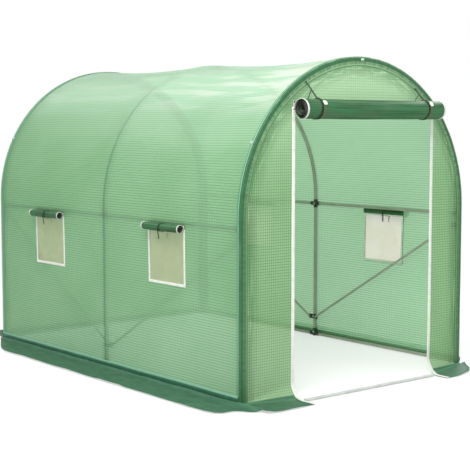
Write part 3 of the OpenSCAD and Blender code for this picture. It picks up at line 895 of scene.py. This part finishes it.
flaps = {
    "mesh": 0.02,
    "lift": 0.0022,
    "ripple": 0.0075,
    "edgeCurl": 0.0030,
    "hoopLift": 0.007,  # the front flaps' outer edges lie over the side flaps
    "wallGap": 0.002,  # between the walls and the side flaps' inner edges
    "flat": {"front": 0.29, "side": (0.27, 3.07), "rear": 0.27, "band": 0.06},  # sizes they are cut to
    "bandOut": 0.011,
    "bandLow": footZ + 0.004,
    "wallLift": 0.010,  # the side and rear flaps rise this far where they meet the walls
    "bandTop": bandHeight + 0.004,
    # where a front flap's free edge runs: share of the way from hoop to door, x, distance ahead
    "frontLeftEdge": [
        (0.0, -0.985, 1.690), (0.25, -0.885, 1.706), (0.5, -0.775, 1.705), (1.0, -0.627, 1.692),
    ],
    "frontRightEdge": [
        (0.0, 0.972, 1.455), (0.3, 0.885, 1.575), (0.55, 0.785, 1.662),
        (0.85, 0.643, 1.701), (1.0, 0.522, 1.701),
    ],
    # share of the way out from the wall, distance ahead of the middle
    "sideFront": [
        (0.0, 1.640), (0.25, 1.612), (0.36, 1.566), (0.48, 1.533), (0.8, 1.527), (0.93, 1.500), (1.0, 1.420),
    ],
    "sideFrontRight": [(0.0, 1.405), (0.15, 1.33), (0.4, 1.18), (1.0, 0.98)],
    "sideRear": [
        (0.0, 1.424), (0.12, 1.398), (0.34, 1.284), (0.56, 1.174), (0.78, 1.066), (0.9, 0.99), (1.0, 0.90),
    ],
}


def groundHeight(x, y, outward, seed):  # outward is 1 at the flap's free edge
    ripple = softNoise((x + 0.7 * y) / 0.12 + 4.4, (y - 0.5 * x) / 0.17 + 6.6, seed)
    long = softNoise((x - 0.4 * y) / 0.30 + 1.4, (y + 0.3 * x) / 0.38 + 2.6, seed + 1)
    height = flaps["lift"] + flaps["ripple"] * (1 + 0.6 * ripple + 0.4 * long) / 2
    curl = flaps["edgeCurl"] * (1 + long) * ease(outward, 0.82, 1.0)
    return height + curl


def frontFlap(name, node, side):
    edge = np.array(flaps["frontLeftEdge"] if side < 0 else flaps["frontRightEdge"])
    inSide = columnX <= doorLeft + 1e-6 if side < 0 else columnX >= doorRight - 1e-6
    x = columnX[inSide]
    share = doorShare(x)
    last = lastTurn[inSide]
    turns = np.linspace(0, 1, 8)[:, None]
    curve = flarePoint(x, last + (math.pi / 2 - last) * turns)
    edgeX = np.interp(share, edge[:, 0], edge[:, 1])
    edgeAhead = np.interp(share, edge[:, 0], edge[:, 2]) - faceY
    edgeAhead = edgeAhead + 0.005 * softNoise(x / 0.06, 0.5, 53)
    run = np.linspace(0, 1, 20)[1:, None]
    reach = flareSize(x)[1]
    ahead = reach + (edgeAhead - reach) * run
    flatX = x + footShift(x, ahead) + (edgeX - x - footShift(x, edgeAhead)) * run
    flatY = -faceY - ahead
    calm = 1 - 0.8 * ease(share, 0.6, 0.92)
    flatZ = flaps["lift"] + (groundHeight(flatX, flatY, run, 57) - flaps["lift"]) * calm
    flatZ = flatZ * ease(run, 0, 0.25)
    hoopEdge = (1 - ease(share, 0.0, 0.14)) * ease(run, 0.05, 0.4)
    flatZ = flatZ + filmHalf * (1 - ease(run, 0, 0.25)) + flaps["hoopLift"] * hoopEdge
    points = np.concatenate([curve, stacked(flatX, flatY, flatZ)])
    piece = sheetPiece(name, points, stacked(x, runLength(points) - reach * 0.6), flip=True)
    install(piece, "plain_film", plainFilm, node)


def wallLift(out):
    return flaps["wallLift"] * (1 - ease(out, 0.0, 0.16))


def sideFlap(name, node, side):
    front = np.array(flaps["sideFront"] if side < 0 else flaps["sideFrontRight"])
    rear = np.array(flaps["sideRear"])
    out = np.linspace(0, 1, 15)
    along = steps([0, 1], flaps["mesh"] / 2.8)
    startY = -np.interp(out, front[:, 0], front[:, 1])
    stopY = np.interp(out, rear[:, 0], rear[:, 1])
    y = startY + (stopY - startY) * along[:, None]
    inner = skinR + flaps["wallGap"]
    edge = flapReach + 0.006 * softNoise(y / 0.3 + 2.1, 0.5, 61) + 0.004 * softNoise(y / 0.07, 3.5, 62)
    x = side * (inner + (edge - inner) * out)
    points = stacked(x, y, groundHeight(x, y, out, 63 + side) + wallLift(out))
    piece = sheetPiece(name, points, stacked(y, x - side * inner), flip=side < 0)
    install(piece, "plain_film", plainFilm, node)


def rearFlap():
    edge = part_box("rear_flap")[1].y
    out = np.linspace(0, 1, 15)
    across = steps([-1, 1], flaps["mesh"] / gableR)
    x = across[:, None] * (gableR - 0.03 * out ** 2)
    y = faceY + (edge - faceY + 0.005 * softNoise(x / 0.09, 1.5, 71)) * out
    z = groundHeight(x, y, out, 73) + wallLift(out)
    piece = sheetPiece("rearFlap", stacked(x, y, z), stacked(x, y))
    install(piece, "plain_film", plainFilm, "rear_flap")


frontFlap("frontLeftFlap", "front_left_flap", -1)
frontFlap("frontRightFlap", "front_right_flap", 1)
sideFlap("leftFlap", "left_flap", -1)
sideFlap("rightFlap", "right_flap", 1)
rearFlap()


def baseBand(start, stop, outward):  # a flattened pocket
    turn = np.linspace(0, math.pi, 12)
    outs = flaps["bandOut"] * np.sin(turn) ** 0.8
    heights = flaps["bandLow"] + (flaps["bandTop"] - flaps["bandLow"]) * (1 + np.cos(turn)) / 2
    start, stop, outward = (np.array(part, float) for part in (start, stop, outward))
    length = np.linalg.norm(stop - start)
    run = steps([0, length], flaps["mesh"])[:, None]
    base = start + (stop - start) * (run / length)
    puff = 1 + 0.22 * softNoise(run / 0.13 + length, 0.5, 81)
    points = base[:, None] + (0.0012 + outs * puff)[:, :, None] * outward
    points[:, :, 2] = heights + 0.0015 * softNoise(run / 0.2, 1.5, 83) * ease(heights, 0.02, 0.05)
    return points, stacked(run, runLength(stacked(outs, heights)))


bandSpots = {
    "leftBand": ((-skinR - 0.001, endY, 0), (-skinR - 0.001, -endY - 0.012, 0), (-1, 0, 0)),
    "rightBand": ((skinR + 0.001, -endY - 0.012, 0), (skinR + 0.001, endY, 0), (1, 0, 0)),
    "rearBand": ((gableR, hemFace, 0), (-gableR, hemFace, 0), (0, 1, 0)),
}
for bandName, (start, stop, outward) in bandSpots.items():
    points, cloth = baseBand(start, stop, outward)
    piece = sheetPiece(bandName, points, cloth)
    install(piece, "plain_film", bandFilm, "base_bands")
print("flaps and bands made")


# ---------- white tapes down the doorway

doorTape = {"width": 0.024, "thick": 0.0034, "proud": 0.0012, "ground": 0.0062}


def tapePath(x, edgeX, edgeY):
    height, reach, _ = (float(part) for part in flareSize(np.array(x)))
    zs = steps([doorTop + 0.03, height + filmHalf], -0.03)
    wave = faceWave(np.full(len(zs), x), zs, 31) * ease(zs - height, 0, 0.2)
    straight = stacked(x, -faceY - wave, zs)
    curve = flarePoint(np.full(24, float(x)), np.linspace(0, math.pi / 2, 24))[1:]
    share = np.linspace(0, 1, 22)[1:]
    edgeAhead = edgeY - faceY
    ahead = reach + (edgeAhead - reach) * share
    flatX = x + footShift(x, ahead) + (edgeX - x - footShift(x, edgeAhead)) * share
    path = np.concatenate([straight, curve, stacked(flatX, -faceY - ahead, doorTape["ground"])])
    path[:, 2] = np.maximum(path[:, 2], doorTape["ground"])
    return path + np.array([0, -doorTape["proud"], 0]) * ease(path[:, 2], 0, 0.02)[:, None]


tapeSpots = {
    "leftDoorTape": (doorLeft - 0.011, -0.622, 1.690),
    "rightDoorTape": (doorRight + 0.011, 0.534, 1.699),
}
for tapeName, (x, edgeX, edgeY) in tapeSpots.items():
    piece = ribbon(tapeName, tapePath(x, edgeX, edgeY), (1, 0, 0), doorTape["width"], doorTape["thick"])
    install(piece, "white_tape", whiteTape, "door_tapes")
print("door tapes made")


# ---------- the rolled-up door

def rollPitch(look):  # distance between one turn and the next
    return math.pi * (look["outerR"]**2 - look["innerR"]**2) / look["length"]


def rollParts(look):
    innerR, outerR, pitch = look["innerR"], look["outerR"], rollPitch(look)
    turns = (outerR - innerR) / pitch
    angle = np.linspace(0, 2 * math.pi * turns, round(look["around"] * turns))
    radius = innerR + pitch * angle / (2 * math.pi)
    bearing = look["leaves"] - look["spin"] * (angle[-1] - angle)
    depth = 1 - (radius - innerR) / (outerR - innerR)
    return angle, radius, bearing, depth


def rolledSheet(name, centre, axis, low, high, look):
    angle, radius, bearing, depth = rollParts(look)
    along = steps([low, high], look["mesh"])[:, None]
    share = (along - low) / (high - low)
    r = radius * (1 + look["wobble"] * softNoise(along / 0.16 + 3.1, bearing * 0.9 + 7.7, look["seed"]))
    uneven = look["uneven"] * (1 - np.cos((angle[-1] - angle) / 2)) / 2
    inset = look["recess"] * ease(depth, 0.45, 1.0) + uneven
    place = low + inset + (high - low - 2 * inset) * share
    p = centre[0] + r * np.cos(bearing)
    q = centre[1] + r * np.sin(bearing) - look["droop"] * np.sin(math.pi * share)

    # the last turn's end hangs up to where the sheet is sewn on
    rise = np.linspace(0, look["tail"], 8)[1:]
    p, place = (np.concatenate([part, part[:, -1:] + 0 * rise], axis=1) for part in (p, place))
    q = np.concatenate([q, q[:, -1:] + rise], axis=1)
    marks = runLength(stacked(p[0], q[0]))
    points = stacked(place, p, q) if axis == "x" else stacked(p, place, q)
    return points, sheetPiece(name, points, stacked(along, marks)), float(marks[-1])


def rollBindings(name, points, axis, width, thick, outerCount):  # a tape on both ends, shaded inside
    outer, inner = [], []
    direction = np.array((1, 0, 0) if axis == "x" else (0, 1, 0))
    for end, inward in ((0, 1), (-1, -1)):
        path = points[end] + direction * inward * (width / 2 - 0.001)
        outer.append(ribbonParts(path[-outerCount:], direction, width, thick, corners=8))
        inner.append(ribbonParts(path[:-outerCount + 1], direction, width, thick * 0.7, corners=8))
    bindings = joined(name, outer), joined(name + "Inner", inner)
    install(bindings[0], "white_tape", rollBinding)
    install(bindings[1], "white_tape", shadedBinding)
    return bindings


rollLow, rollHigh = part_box("door_roll")
rollY, rollZ = (rollLow.y + rollHigh.y) / 2, (rollLow.z + rollHigh.z) / 2
doorRoll = {
    "innerR": 0.010, "outerR": (rollHigh.z - rollLow.z) / 2 - filmHalf, "length": 1.60,
    "leaves": 0.0, "spin": -1, "around": 44, "mesh": 0.03, "wobble": 0.02, "seed": 91,
    "recess": 0.014, "uneven": 0.012, "droop": 0.002, "tail": 0.048, "tape": 0.013,
}
rollPoints, doorPiece, doorLength = rolledSheet(
    "doorRoll", (rollY, rollZ), "x", rollLow.x, rollHigh.x, doorRoll
)
install(doorPiece, "rolled_film", rolledFilm, "door_roll")
doorBindings = rollBindings("doorRollBinding", rollPoints, "x", doorRoll["tape"], 0.0026, 54)
print("door roll made:", len(doorPiece.data.polygons), "faces, cloth", round(doorLength, 3), "m long")

# ---------- straps that hold the door roll

straps = {
    "loopR": doorRoll["outerR"] + 0.0030, "thick": 0.0018, "mesh": 0.008,
    # each band round the roll: name, width, thickness, shift to the right, lift, lean and finish
    "bands": [
        ("Cord", 0.008, 0.0028, -0.012, 0.0006, 0.009, blackWebbing),
        ("Webbing", 0.018, 0.0016, 0.007, -0.0004, 0.004, oliveWebbing),
    ],
    # where each strap leaves the end film: x and height
    "left": (-0.466, 1.872), "right": (0.478, 1.848),
}
buckleLow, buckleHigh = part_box("strap_buckles")
buckle = {
    "size": (0.026, 0.030), "rim": 0.0055, "thick": 0.004, "corner": 0.005, "bar": (0.0035, 0.007),
    "turn": math.radians(144), "shift": 0.014,  # how far round the roll, and right of the strap's middle
}
strapSpots = {
    "left": buckleLow.x + buckle["size"][0] / 2 - buckle["shift"],
    "right": buckleHigh.x - buckle["size"][0] / 2 - buckle["shift"],
}


def ringPath(x, r, lean=0.0, start=0.0, stop=2 * math.pi, count=48):  # snug round the roll's last turn
    turn = np.linspace(start, stop, count, endpoint=stop - start < 2 * math.pi - 0.01)
    snug = r - rollPitch(doorRoll) * turn / (2 * math.pi) * (1 - ease(turn, 5.4, 6.2))
    return stacked(x + lean * np.sin(turn), rollY + snug * np.cos(turn), rollZ + snug * np.sin(turn))


for spot, x in strapSpots.items():
    for kind, width, thick, shift, lift, lean, finish in straps["bands"]:
        path = ringPath(x + shift, straps["loopR"] + lift, lean)
        band = ribbon(spot + "Strap" + kind, path, (1, 0, 0), width, thick, True)
        install(band, "webbing", finish, "door_straps")
    hangX, hangZ = straps[spot]
    hang = np.array([hangX, -hemFace - 0.003, hangZ])
    hangerR = straps["loopR"] + 0.0022
    ringTop = ringPath(x - 0.004, hangerR, start=math.pi / 2, stop=2.0, count=2)[0]
    frontLeg = np.concatenate([
        hang + (ringTop - hang) * np.linspace(0, 1, 14)[:, None],
        ringPath(x - 0.004, hangerR, start=math.radians(93), stop=math.radians(128), count=8),
    ])
    fork = hang + (ringTop - hang) * 0.5
    backFoot = np.array([x - 0.020, -hemFace - 0.003, rollZ + straps["loopR"] * 0.86])
    backLeg = smoothPath([fork, (fork + backFoot) / 2, backFoot], straps["mesh"])
    hanger = joined(spot + "StrapHanger", [
        ribbonParts(frontLeg, (0.83, 0, 0.55), 0.011, straps["thick"]),
        ribbonParts(backLeg, (0.9, 0, 0.4), 0.008, straps["thick"]),
    ])
    install(hanger, "webbing", hangWebbing, "door_straps")

# a moulded square buckle with its bar, set on each strap's front
wide, tall = buckle["size"]
up = np.array([0, -math.sin(buckle["turn"]), math.cos(buckle["turn"])])
out = np.array([0, math.cos(buckle["turn"]), math.sin(buckle["turn"])])
right = np.array([1.0, 0, 0])
corner = buckle["corner"]
buckleR = straps["loopR"] + 0.003 - rollPitch(doorRoll) * buckle["turn"] / (2 * math.pi)
for spot, x in strapSpots.items():
    middle = np.array([x + buckle["shift"], rollY, rollZ]) + out * buckleR
    path = []
    for sideX, sideUp, first in ((1, 1, 0), (-1, 1, 90), (-1, -1, 180), (1, -1, 270)):
        for angle in np.radians(np.linspace(first, first + 90, 6)):
            cx = sideX * (wide / 2 - corner - buckle["rim"] / 2) + corner * math.cos(angle)
            cu = sideUp * (tall / 2 - corner - buckle["rim"] / 2) + corner * math.sin(angle)
            path.append(middle + right * cx + up * cu)
    rim = ribbonParts(path, out, buckle["thick"], buckle["rim"], loop=True)
    barPath = [middle + right * (wide / 2 - 0.004) * s for s in (-1, 0, 1)]
    bar = ribbonParts(barPath, out, *buckle["bar"])
    platePath = [middle - up * (tall / 2 - 0.004) * s for s in (-1, 0, 1)]
    plate = ribbonParts(platePath, right, wide - 0.008, 0.002)
    piece = joined(spot + "Buckle", [rim, bar, plate])
    install(piece, "white_plastic", whiteMoulding, "strap_buckles")
print("straps and buckles made")


# ---------- windows

window = {
    "tape": 0.017, "thick": 0.0022, "lining": 0.014, "header": 0.036,
    "tapeLift": 0.0012, "liningLift": -0.0036, "netLift": -0.0004,  # distances out from the film
    "netLap": 0.004,  # how far the net runs under the tape
    "netSlack": 0.003,
}
windowRoll = {
    "innerR": 0.0035, "outerR": 0.0265, "length": 0.40, "spin": -1, "around": 32, "mesh": 0.02,
    "wobble": 0.03, "seed": 101, "recess": 0.016, "uneven": 0.006, "droop": 0.0012, "tail": 0.020,
    "tape": 0.009,
}
windowTie = {"width": 0.010, "thick": 0.0016, "mesh": 0.006}


def windowFrame(name, side, low, high, kind, finish, *stands):  # a mitred tape round the cut-out
    width, out = window[kind], window[kind + "Lift"]
    turn = np.linspace(0, 2 * math.pi, 12, endpoint=False)
    wide, lift = roundedBox(turn, (0.4, 0.5))
    wide, lift = wide * 0.5 + 0.5, lift * window["thick"] / 2
    corners = np.array([(low[1], low[2]), (high[1], low[2]), (high[1], high[2]), (low[1], high[2])])
    middle = corners.mean(axis=0)
    rows, cloth = [], []
    travelled = 0.0
    for start, stop in zip(corners, np.roll(corners, -1, axis=0)):
        length = np.linalg.norm(stop - start)
        for share in np.linspace(0, 1, 14, endpoint=False):
            spot = start + (stop - start) * share
            outward = np.sign(start - middle) * (1 - share) + np.sign(stop - middle) * share
            y = spot[0] + outward[0] * wide * width
            z = spot[1] + outward[1] * wide * width
            rows.append(wallPoint(side, y, z, out + lift))
            cloth.append(stacked(travelled + length * share, (wide - 0.5) * width))
        travelled += length
    faces = gridFaces(len(rows), len(turn), loopRows=True, loopCols=True).reshape(-1, 4)
    if side < 0:
        faces = faces[:, ::-1]
    piece = newPiece(name, np.reshape(rows, (-1, 3)), faces.tolist(), np.reshape(cloth, (-1, 2)))
    return install(piece, "white_tape", finish, *stands)


for spotName, (side, low, high) in windowBoxes.items():
    sideName = "left" if side < 0 else "right"
    end = 1 if spotName.endswith("Rear") else -1
    (lowY, lowZ), (highY, highZ) = low[1:].tolist(), high[1:].tolist()
    midY = (lowY + highY) / 2
    frameNode = sideName + "_window_frames"
    frameTape = windowFrame(spotName + "WindowFrame", side, low, high, "tape", whiteTape, frameNode)
    windowFrame(spotName + "WindowLining", side, low, high, "lining", whiteTape)

    lap = window["netLap"]
    netYs = np.linspace(lowY - lap, highY + lap, 19)
    netZs = np.linspace(lowZ - lap, highZ + lap, 18)
    y, z = np.meshgrid(netYs, netZs, indexing="ij")
    slackY = np.sin(math.pi * np.clip((y - lowY) / (highY - lowY), 0, 1))
    slack = slackY * np.sin(math.pi * np.clip((z - lowZ) / (highZ - lowZ), 0, 1))
    netPoints = wallPoint(side, y, z, window["netLift"] - window["netSlack"] * slack)
    net = sheetPiece(spotName + "WindowNet", netPoints, stacked(y, z), flip=side > 0)
    install(net, "insect_net", windowNet, sideName + "_window_nets")

    rollLow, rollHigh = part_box(sideName + "_window_rolls")
    centreX = (rollLow.x + rollHigh.x) / 2
    centreZ = (rollLow.z + rollHigh.z) / 2
    halfWide = (rollHigh.y * 2 - (highY + lowY) * end) / 2
    rollEnds = midY - halfWide, midY + halfWide
    windowRoll.update(leaves=0.0 if side < 0 else math.pi, spin=side, seed=windowRoll["seed"] + 1)
    rollPoints, flap, flapLength = rolledSheet(
        spotName + "WindowRoll", (centreX, centreZ), "y", *rollEnds, windowRoll
    )
    install(flap, "rolled_film", rolledFilm, sideName + "_window_rolls")
    bindingName = spotName + "WindowRollBinding"
    bindings = rollBindings(bindingName, rollPoints, "y", windowRoll["tape"], 0.0024, 40)

    # the flap's header strip, sewn on inside, with the inner tie
    y, share = np.meshgrid(steps(rollEnds, 0.02), np.linspace(0, 1, 7), indexing="ij")
    z = highZ + 0.006 + window["header"] * share
    puff = 1 + 0.3 * softNoise(y / 0.05, share, windowRoll["seed"])
    headPoints = wallPoint(side, y, z, -0.0055 - 0.004 * np.sin(math.pi * share) * puff)
    header = sheetPiece(spotName + "WindowHeader", headPoints, stacked(y, z), flip=side > 0)
    install(header, "rolled_film", rolledFilm)
    innerStops = [
        wallPoint(side, midY, highZ + above, sink)
        for above, sink in ((0.030, -0.012), (0.004, -0.013), (-0.026, -0.010), (-0.046, -0.009))
    ]
    tieSize = windowTie["width"], windowTie["thick"]
    innerTie = ribbon(
        spotName + "WindowInnerTie", smoothPath(innerStops, windowTie["mesh"]), (0, 1, 0), *tieSize
    )
    install(innerTie, "webbing", blackWebbing)

    tieY = midY - (0.012 if end > 0 else 0)
    loopR = windowRoll["outerR"] + 0.0022
    turn = np.linspace(0, 2 * math.pi, 36, endpoint=False)
    loopPath = stacked(centreX + loopR * np.cos(turn), tieY, centreZ + loopR * np.sin(turn))
    tailStops = [
        (centreX + side * (loopR + out), tieY + aside, centreZ + above)
        for out, aside, above in (
            (0, 0, 0.004), (0.001, 0.001, -0.018), (-0.006, 0.003, -0.042), (-0.009, 0.002, -0.070),
        )
    ]
    tie = joined(spotName + "WindowTie", [
        ribbonParts(loopPath, (0, 1, 0), *tieSize, loop=True),
        ribbonParts(smoothPath(tailStops, windowTie["mesh"]), (0, 1, 0), *tieSize),
    ])
    install(tie, "webbing", blackWebbing, sideName + "_window_ties")
print("windows made:", len(windowBoxes))


# ---------- cover studs and bolt heads

# each outline lists distances out from the axis and along it
stud = [
    (0.0135, 0.0), (0.0135, 0.0014), (0.0108, 0.0032),
    (0.0098, 0.0066), (0.0062, 0.0088), (0.0015, 0.0096),
]
studParts = []
shoulder = math.radians(62.5)  # how far down the arch the side studs sit
for end in (-1, 1):
    for side in (-1, 1):
        out = np.array([side * math.sin(shoulder), 0, math.cos(shoulder)])
        spot = out * (skinR + hem["proud"]) + np.array([0, end * (endY - 0.004), legTop])
        studParts.append(turnedParts(spot, out, stud))
    crown = (0.008, end * (hemFace + hem["proud"]), legTop + hemInner + 0.030)
    studParts.append(turnedParts(crown, (0, end, 0), stud))
install(joined("coverStuds", studParts), "bright_tube", zincScrew)
knot = [(0.0065, 0.0), (0.0075, 0.0020), (0.0060, 0.0050), (0.0020, 0.0062)]
knotSpot = doorLeft - 0.008, -faceY - 0.0035, doorTop + 0.058
tapeKnot = joined("tapeKnot", [turnedParts(knotSpot, (0, -1, 0), knot, around=14)])
install(tapeKnot, "dark_fitting", darkMoulding)

washer = [(0.0085, -0.0010), (0.0085, 0.0010), (0.0060, 0.0014)]
boltHead = [(0.0058, 0.0008), (0.0058, 0.0042), (0.0046, 0.0050)]
boltParts = []
for nodeName in ("brace_clips", "side_rail_fittings", "base_fittings"):
    spots = np.array([v.co for v in nodes[nodeName].data.vertices])
    for side in (-1, 1):
        for end in (-1, 0, 1):
            near = spots[(spots[:, 0] * side > 0) & (np.abs(spots[:, 1] - end * endY) < 0.3)]
            middle = (near.min(axis=0) + near.max(axis=0)) / 2
            found, hit, normal, _ = nodes[nodeName].ray_cast((0, middle[1], middle[2]), (side, 0, 0))
            if found and abs(normal.x) > 0.8:
                boltParts.append(turnedParts(hit, (-side, 0, 0), washer))
                boltParts.append(turnedParts(hit, (-side, 0, 0), boltHead, around=6))
install(joined("boltHeads", boltParts), "bright_tube", zincScrew)
print("studs and bolts made:", len(studParts), "and", len(boltParts) // 2)


# ---------- stage, light and camera

def seenBy(tree, *kinds):  # 1 for the rays of these kinds
    ray = tree.nodes.new("ShaderNodeLightPath")
    seen = 0.0
    for kind in kinds:
        seen = calc(tree, "ADD", seen, ray.outputs["Is " + kind + " Ray"])
    return calc(tree, "MINIMUM", seen, 1.0)


stage = {"half": 60, "rear": 90, "height": -0.001, "grey": 0.86, "fade": (2.0, 6.0), "white": (0.55, 1.0)}


def stageFloor():  # white in the distance, so that no horizon shows
    half, rear = stage["half"], stage["rear"]
    corners = stacked([-half, half, half, -half], [-half, -half, rear, rear], stage["height"])
    floor = newPiece("stageFloor", corners, [(0, 1, 2, 3)], np.zeros((4, 2)))
    finish, tree, surface = newFinish("stageFloor")
    matt = tree.nodes.new("ShaderNodeBsdfDiffuse")
    matt.inputs["Color"].default_value = (*[stage["grey"]] * 3, 1)
    white = tree.nodes.new("ShaderNodeEmission")
    white.inputs["Color"].default_value = (1, 1, 1, 1)
    length = tree.nodes.new("ShaderNodeVectorMath")
    length.operation = "LENGTH"
    tree.links.new(tree.nodes.new("ShaderNodeNewGeometry").outputs["Position"], length.inputs[0])
    far = spread(tree, length.outputs["Value"], *stage["fade"], *stage["white"])
    seen = seenBy(tree, "Camera", "Glossy", "Transmission")
    tree.links.new(mixed(tree, times(tree, seen, far), matt.outputs[0], white.outputs[0]), surface)
    floor.data.materials.append(finish)


def stageWorld(strength):  # white where the camera sees it, softer as a light
    world = bpy.data.worlds.new("stageWorld")
    world.use_nodes = True
    tree = world.node_tree
    tree.nodes.clear()
    soft, white = (tree.nodes.new("ShaderNodeBackground") for _ in range(2))
    for sky, power in ((soft, strength), (white, 1.0)):
        sky.inputs["Color"].default_value = (1, 1, 1, 1)
        sky.inputs["Strength"].default_value = power
    both = mixed(tree, seenBy(tree, "Camera", "Transmission"), soft.outputs[0], white.outputs[0])
    output = tree.nodes.new("ShaderNodeOutputWorld")
    tree.links.new(both, output.inputs["Surface"])
    bpy.context.scene.world = world


def softLamp(name, spot, target, size, power):
    lamp = bpy.data.lights.new(name, "AREA")
    lamp.shape = "DISK"
    lamp.size = size
    lamp.energy = power
    holder = bpy.data.objects.new(name, lamp)
    holder.location = spot
    holder.rotation_euler = (Vector(target) - Vector(spot)).to_track_quat("-Z", "Y").to_euler()
    bpy.context.scene.collection.objects.link(holder)


light = {"world": 0.62, "key": 315, "fill": 85, "sky": 132, "side": 270}
stageFloor()
stageWorld(light["world"])
softLamp("keyLamp", (-3.0, -3.2, 5.2), (0, -0.4, 1), 3.5, light["key"])
softLamp("fillLamp", (5.0, -6.0, 4.5), (0, 0, 1), 5.0, light["fill"])
softLamp("sideLamp", (5.4, 1.0, 5.0), (0, 0, 1.4), 4.0, light["side"])
softLamp("skyLamp", (-2.6, 4.6, 6.0), (-0.5, 0.5, 1.6), 3.0, light["sky"])

view = {"spot": (-5.276, -6.672, 1.614), "yaw": 39.15, "dip": 5.26, "lens": 91.5}
camera = bpy.data.cameras.new("camera")
camera.lens = view["lens"]
camera.sensor_width = 36
cameraHolder = bpy.data.objects.new("camera", camera)
cameraHolder.location = view["spot"]
cameraHolder.rotation_euler = (math.radians(90 - view["dip"]), 0, math.radians(-view["yaw"]))
bpy.context.scene.collection.objects.link(cameraHolder)
bpy.context.scene.camera = cameraHolder
bpy.context.scene.view_settings.view_transform = "Standard"
print("stage, light and camera set")
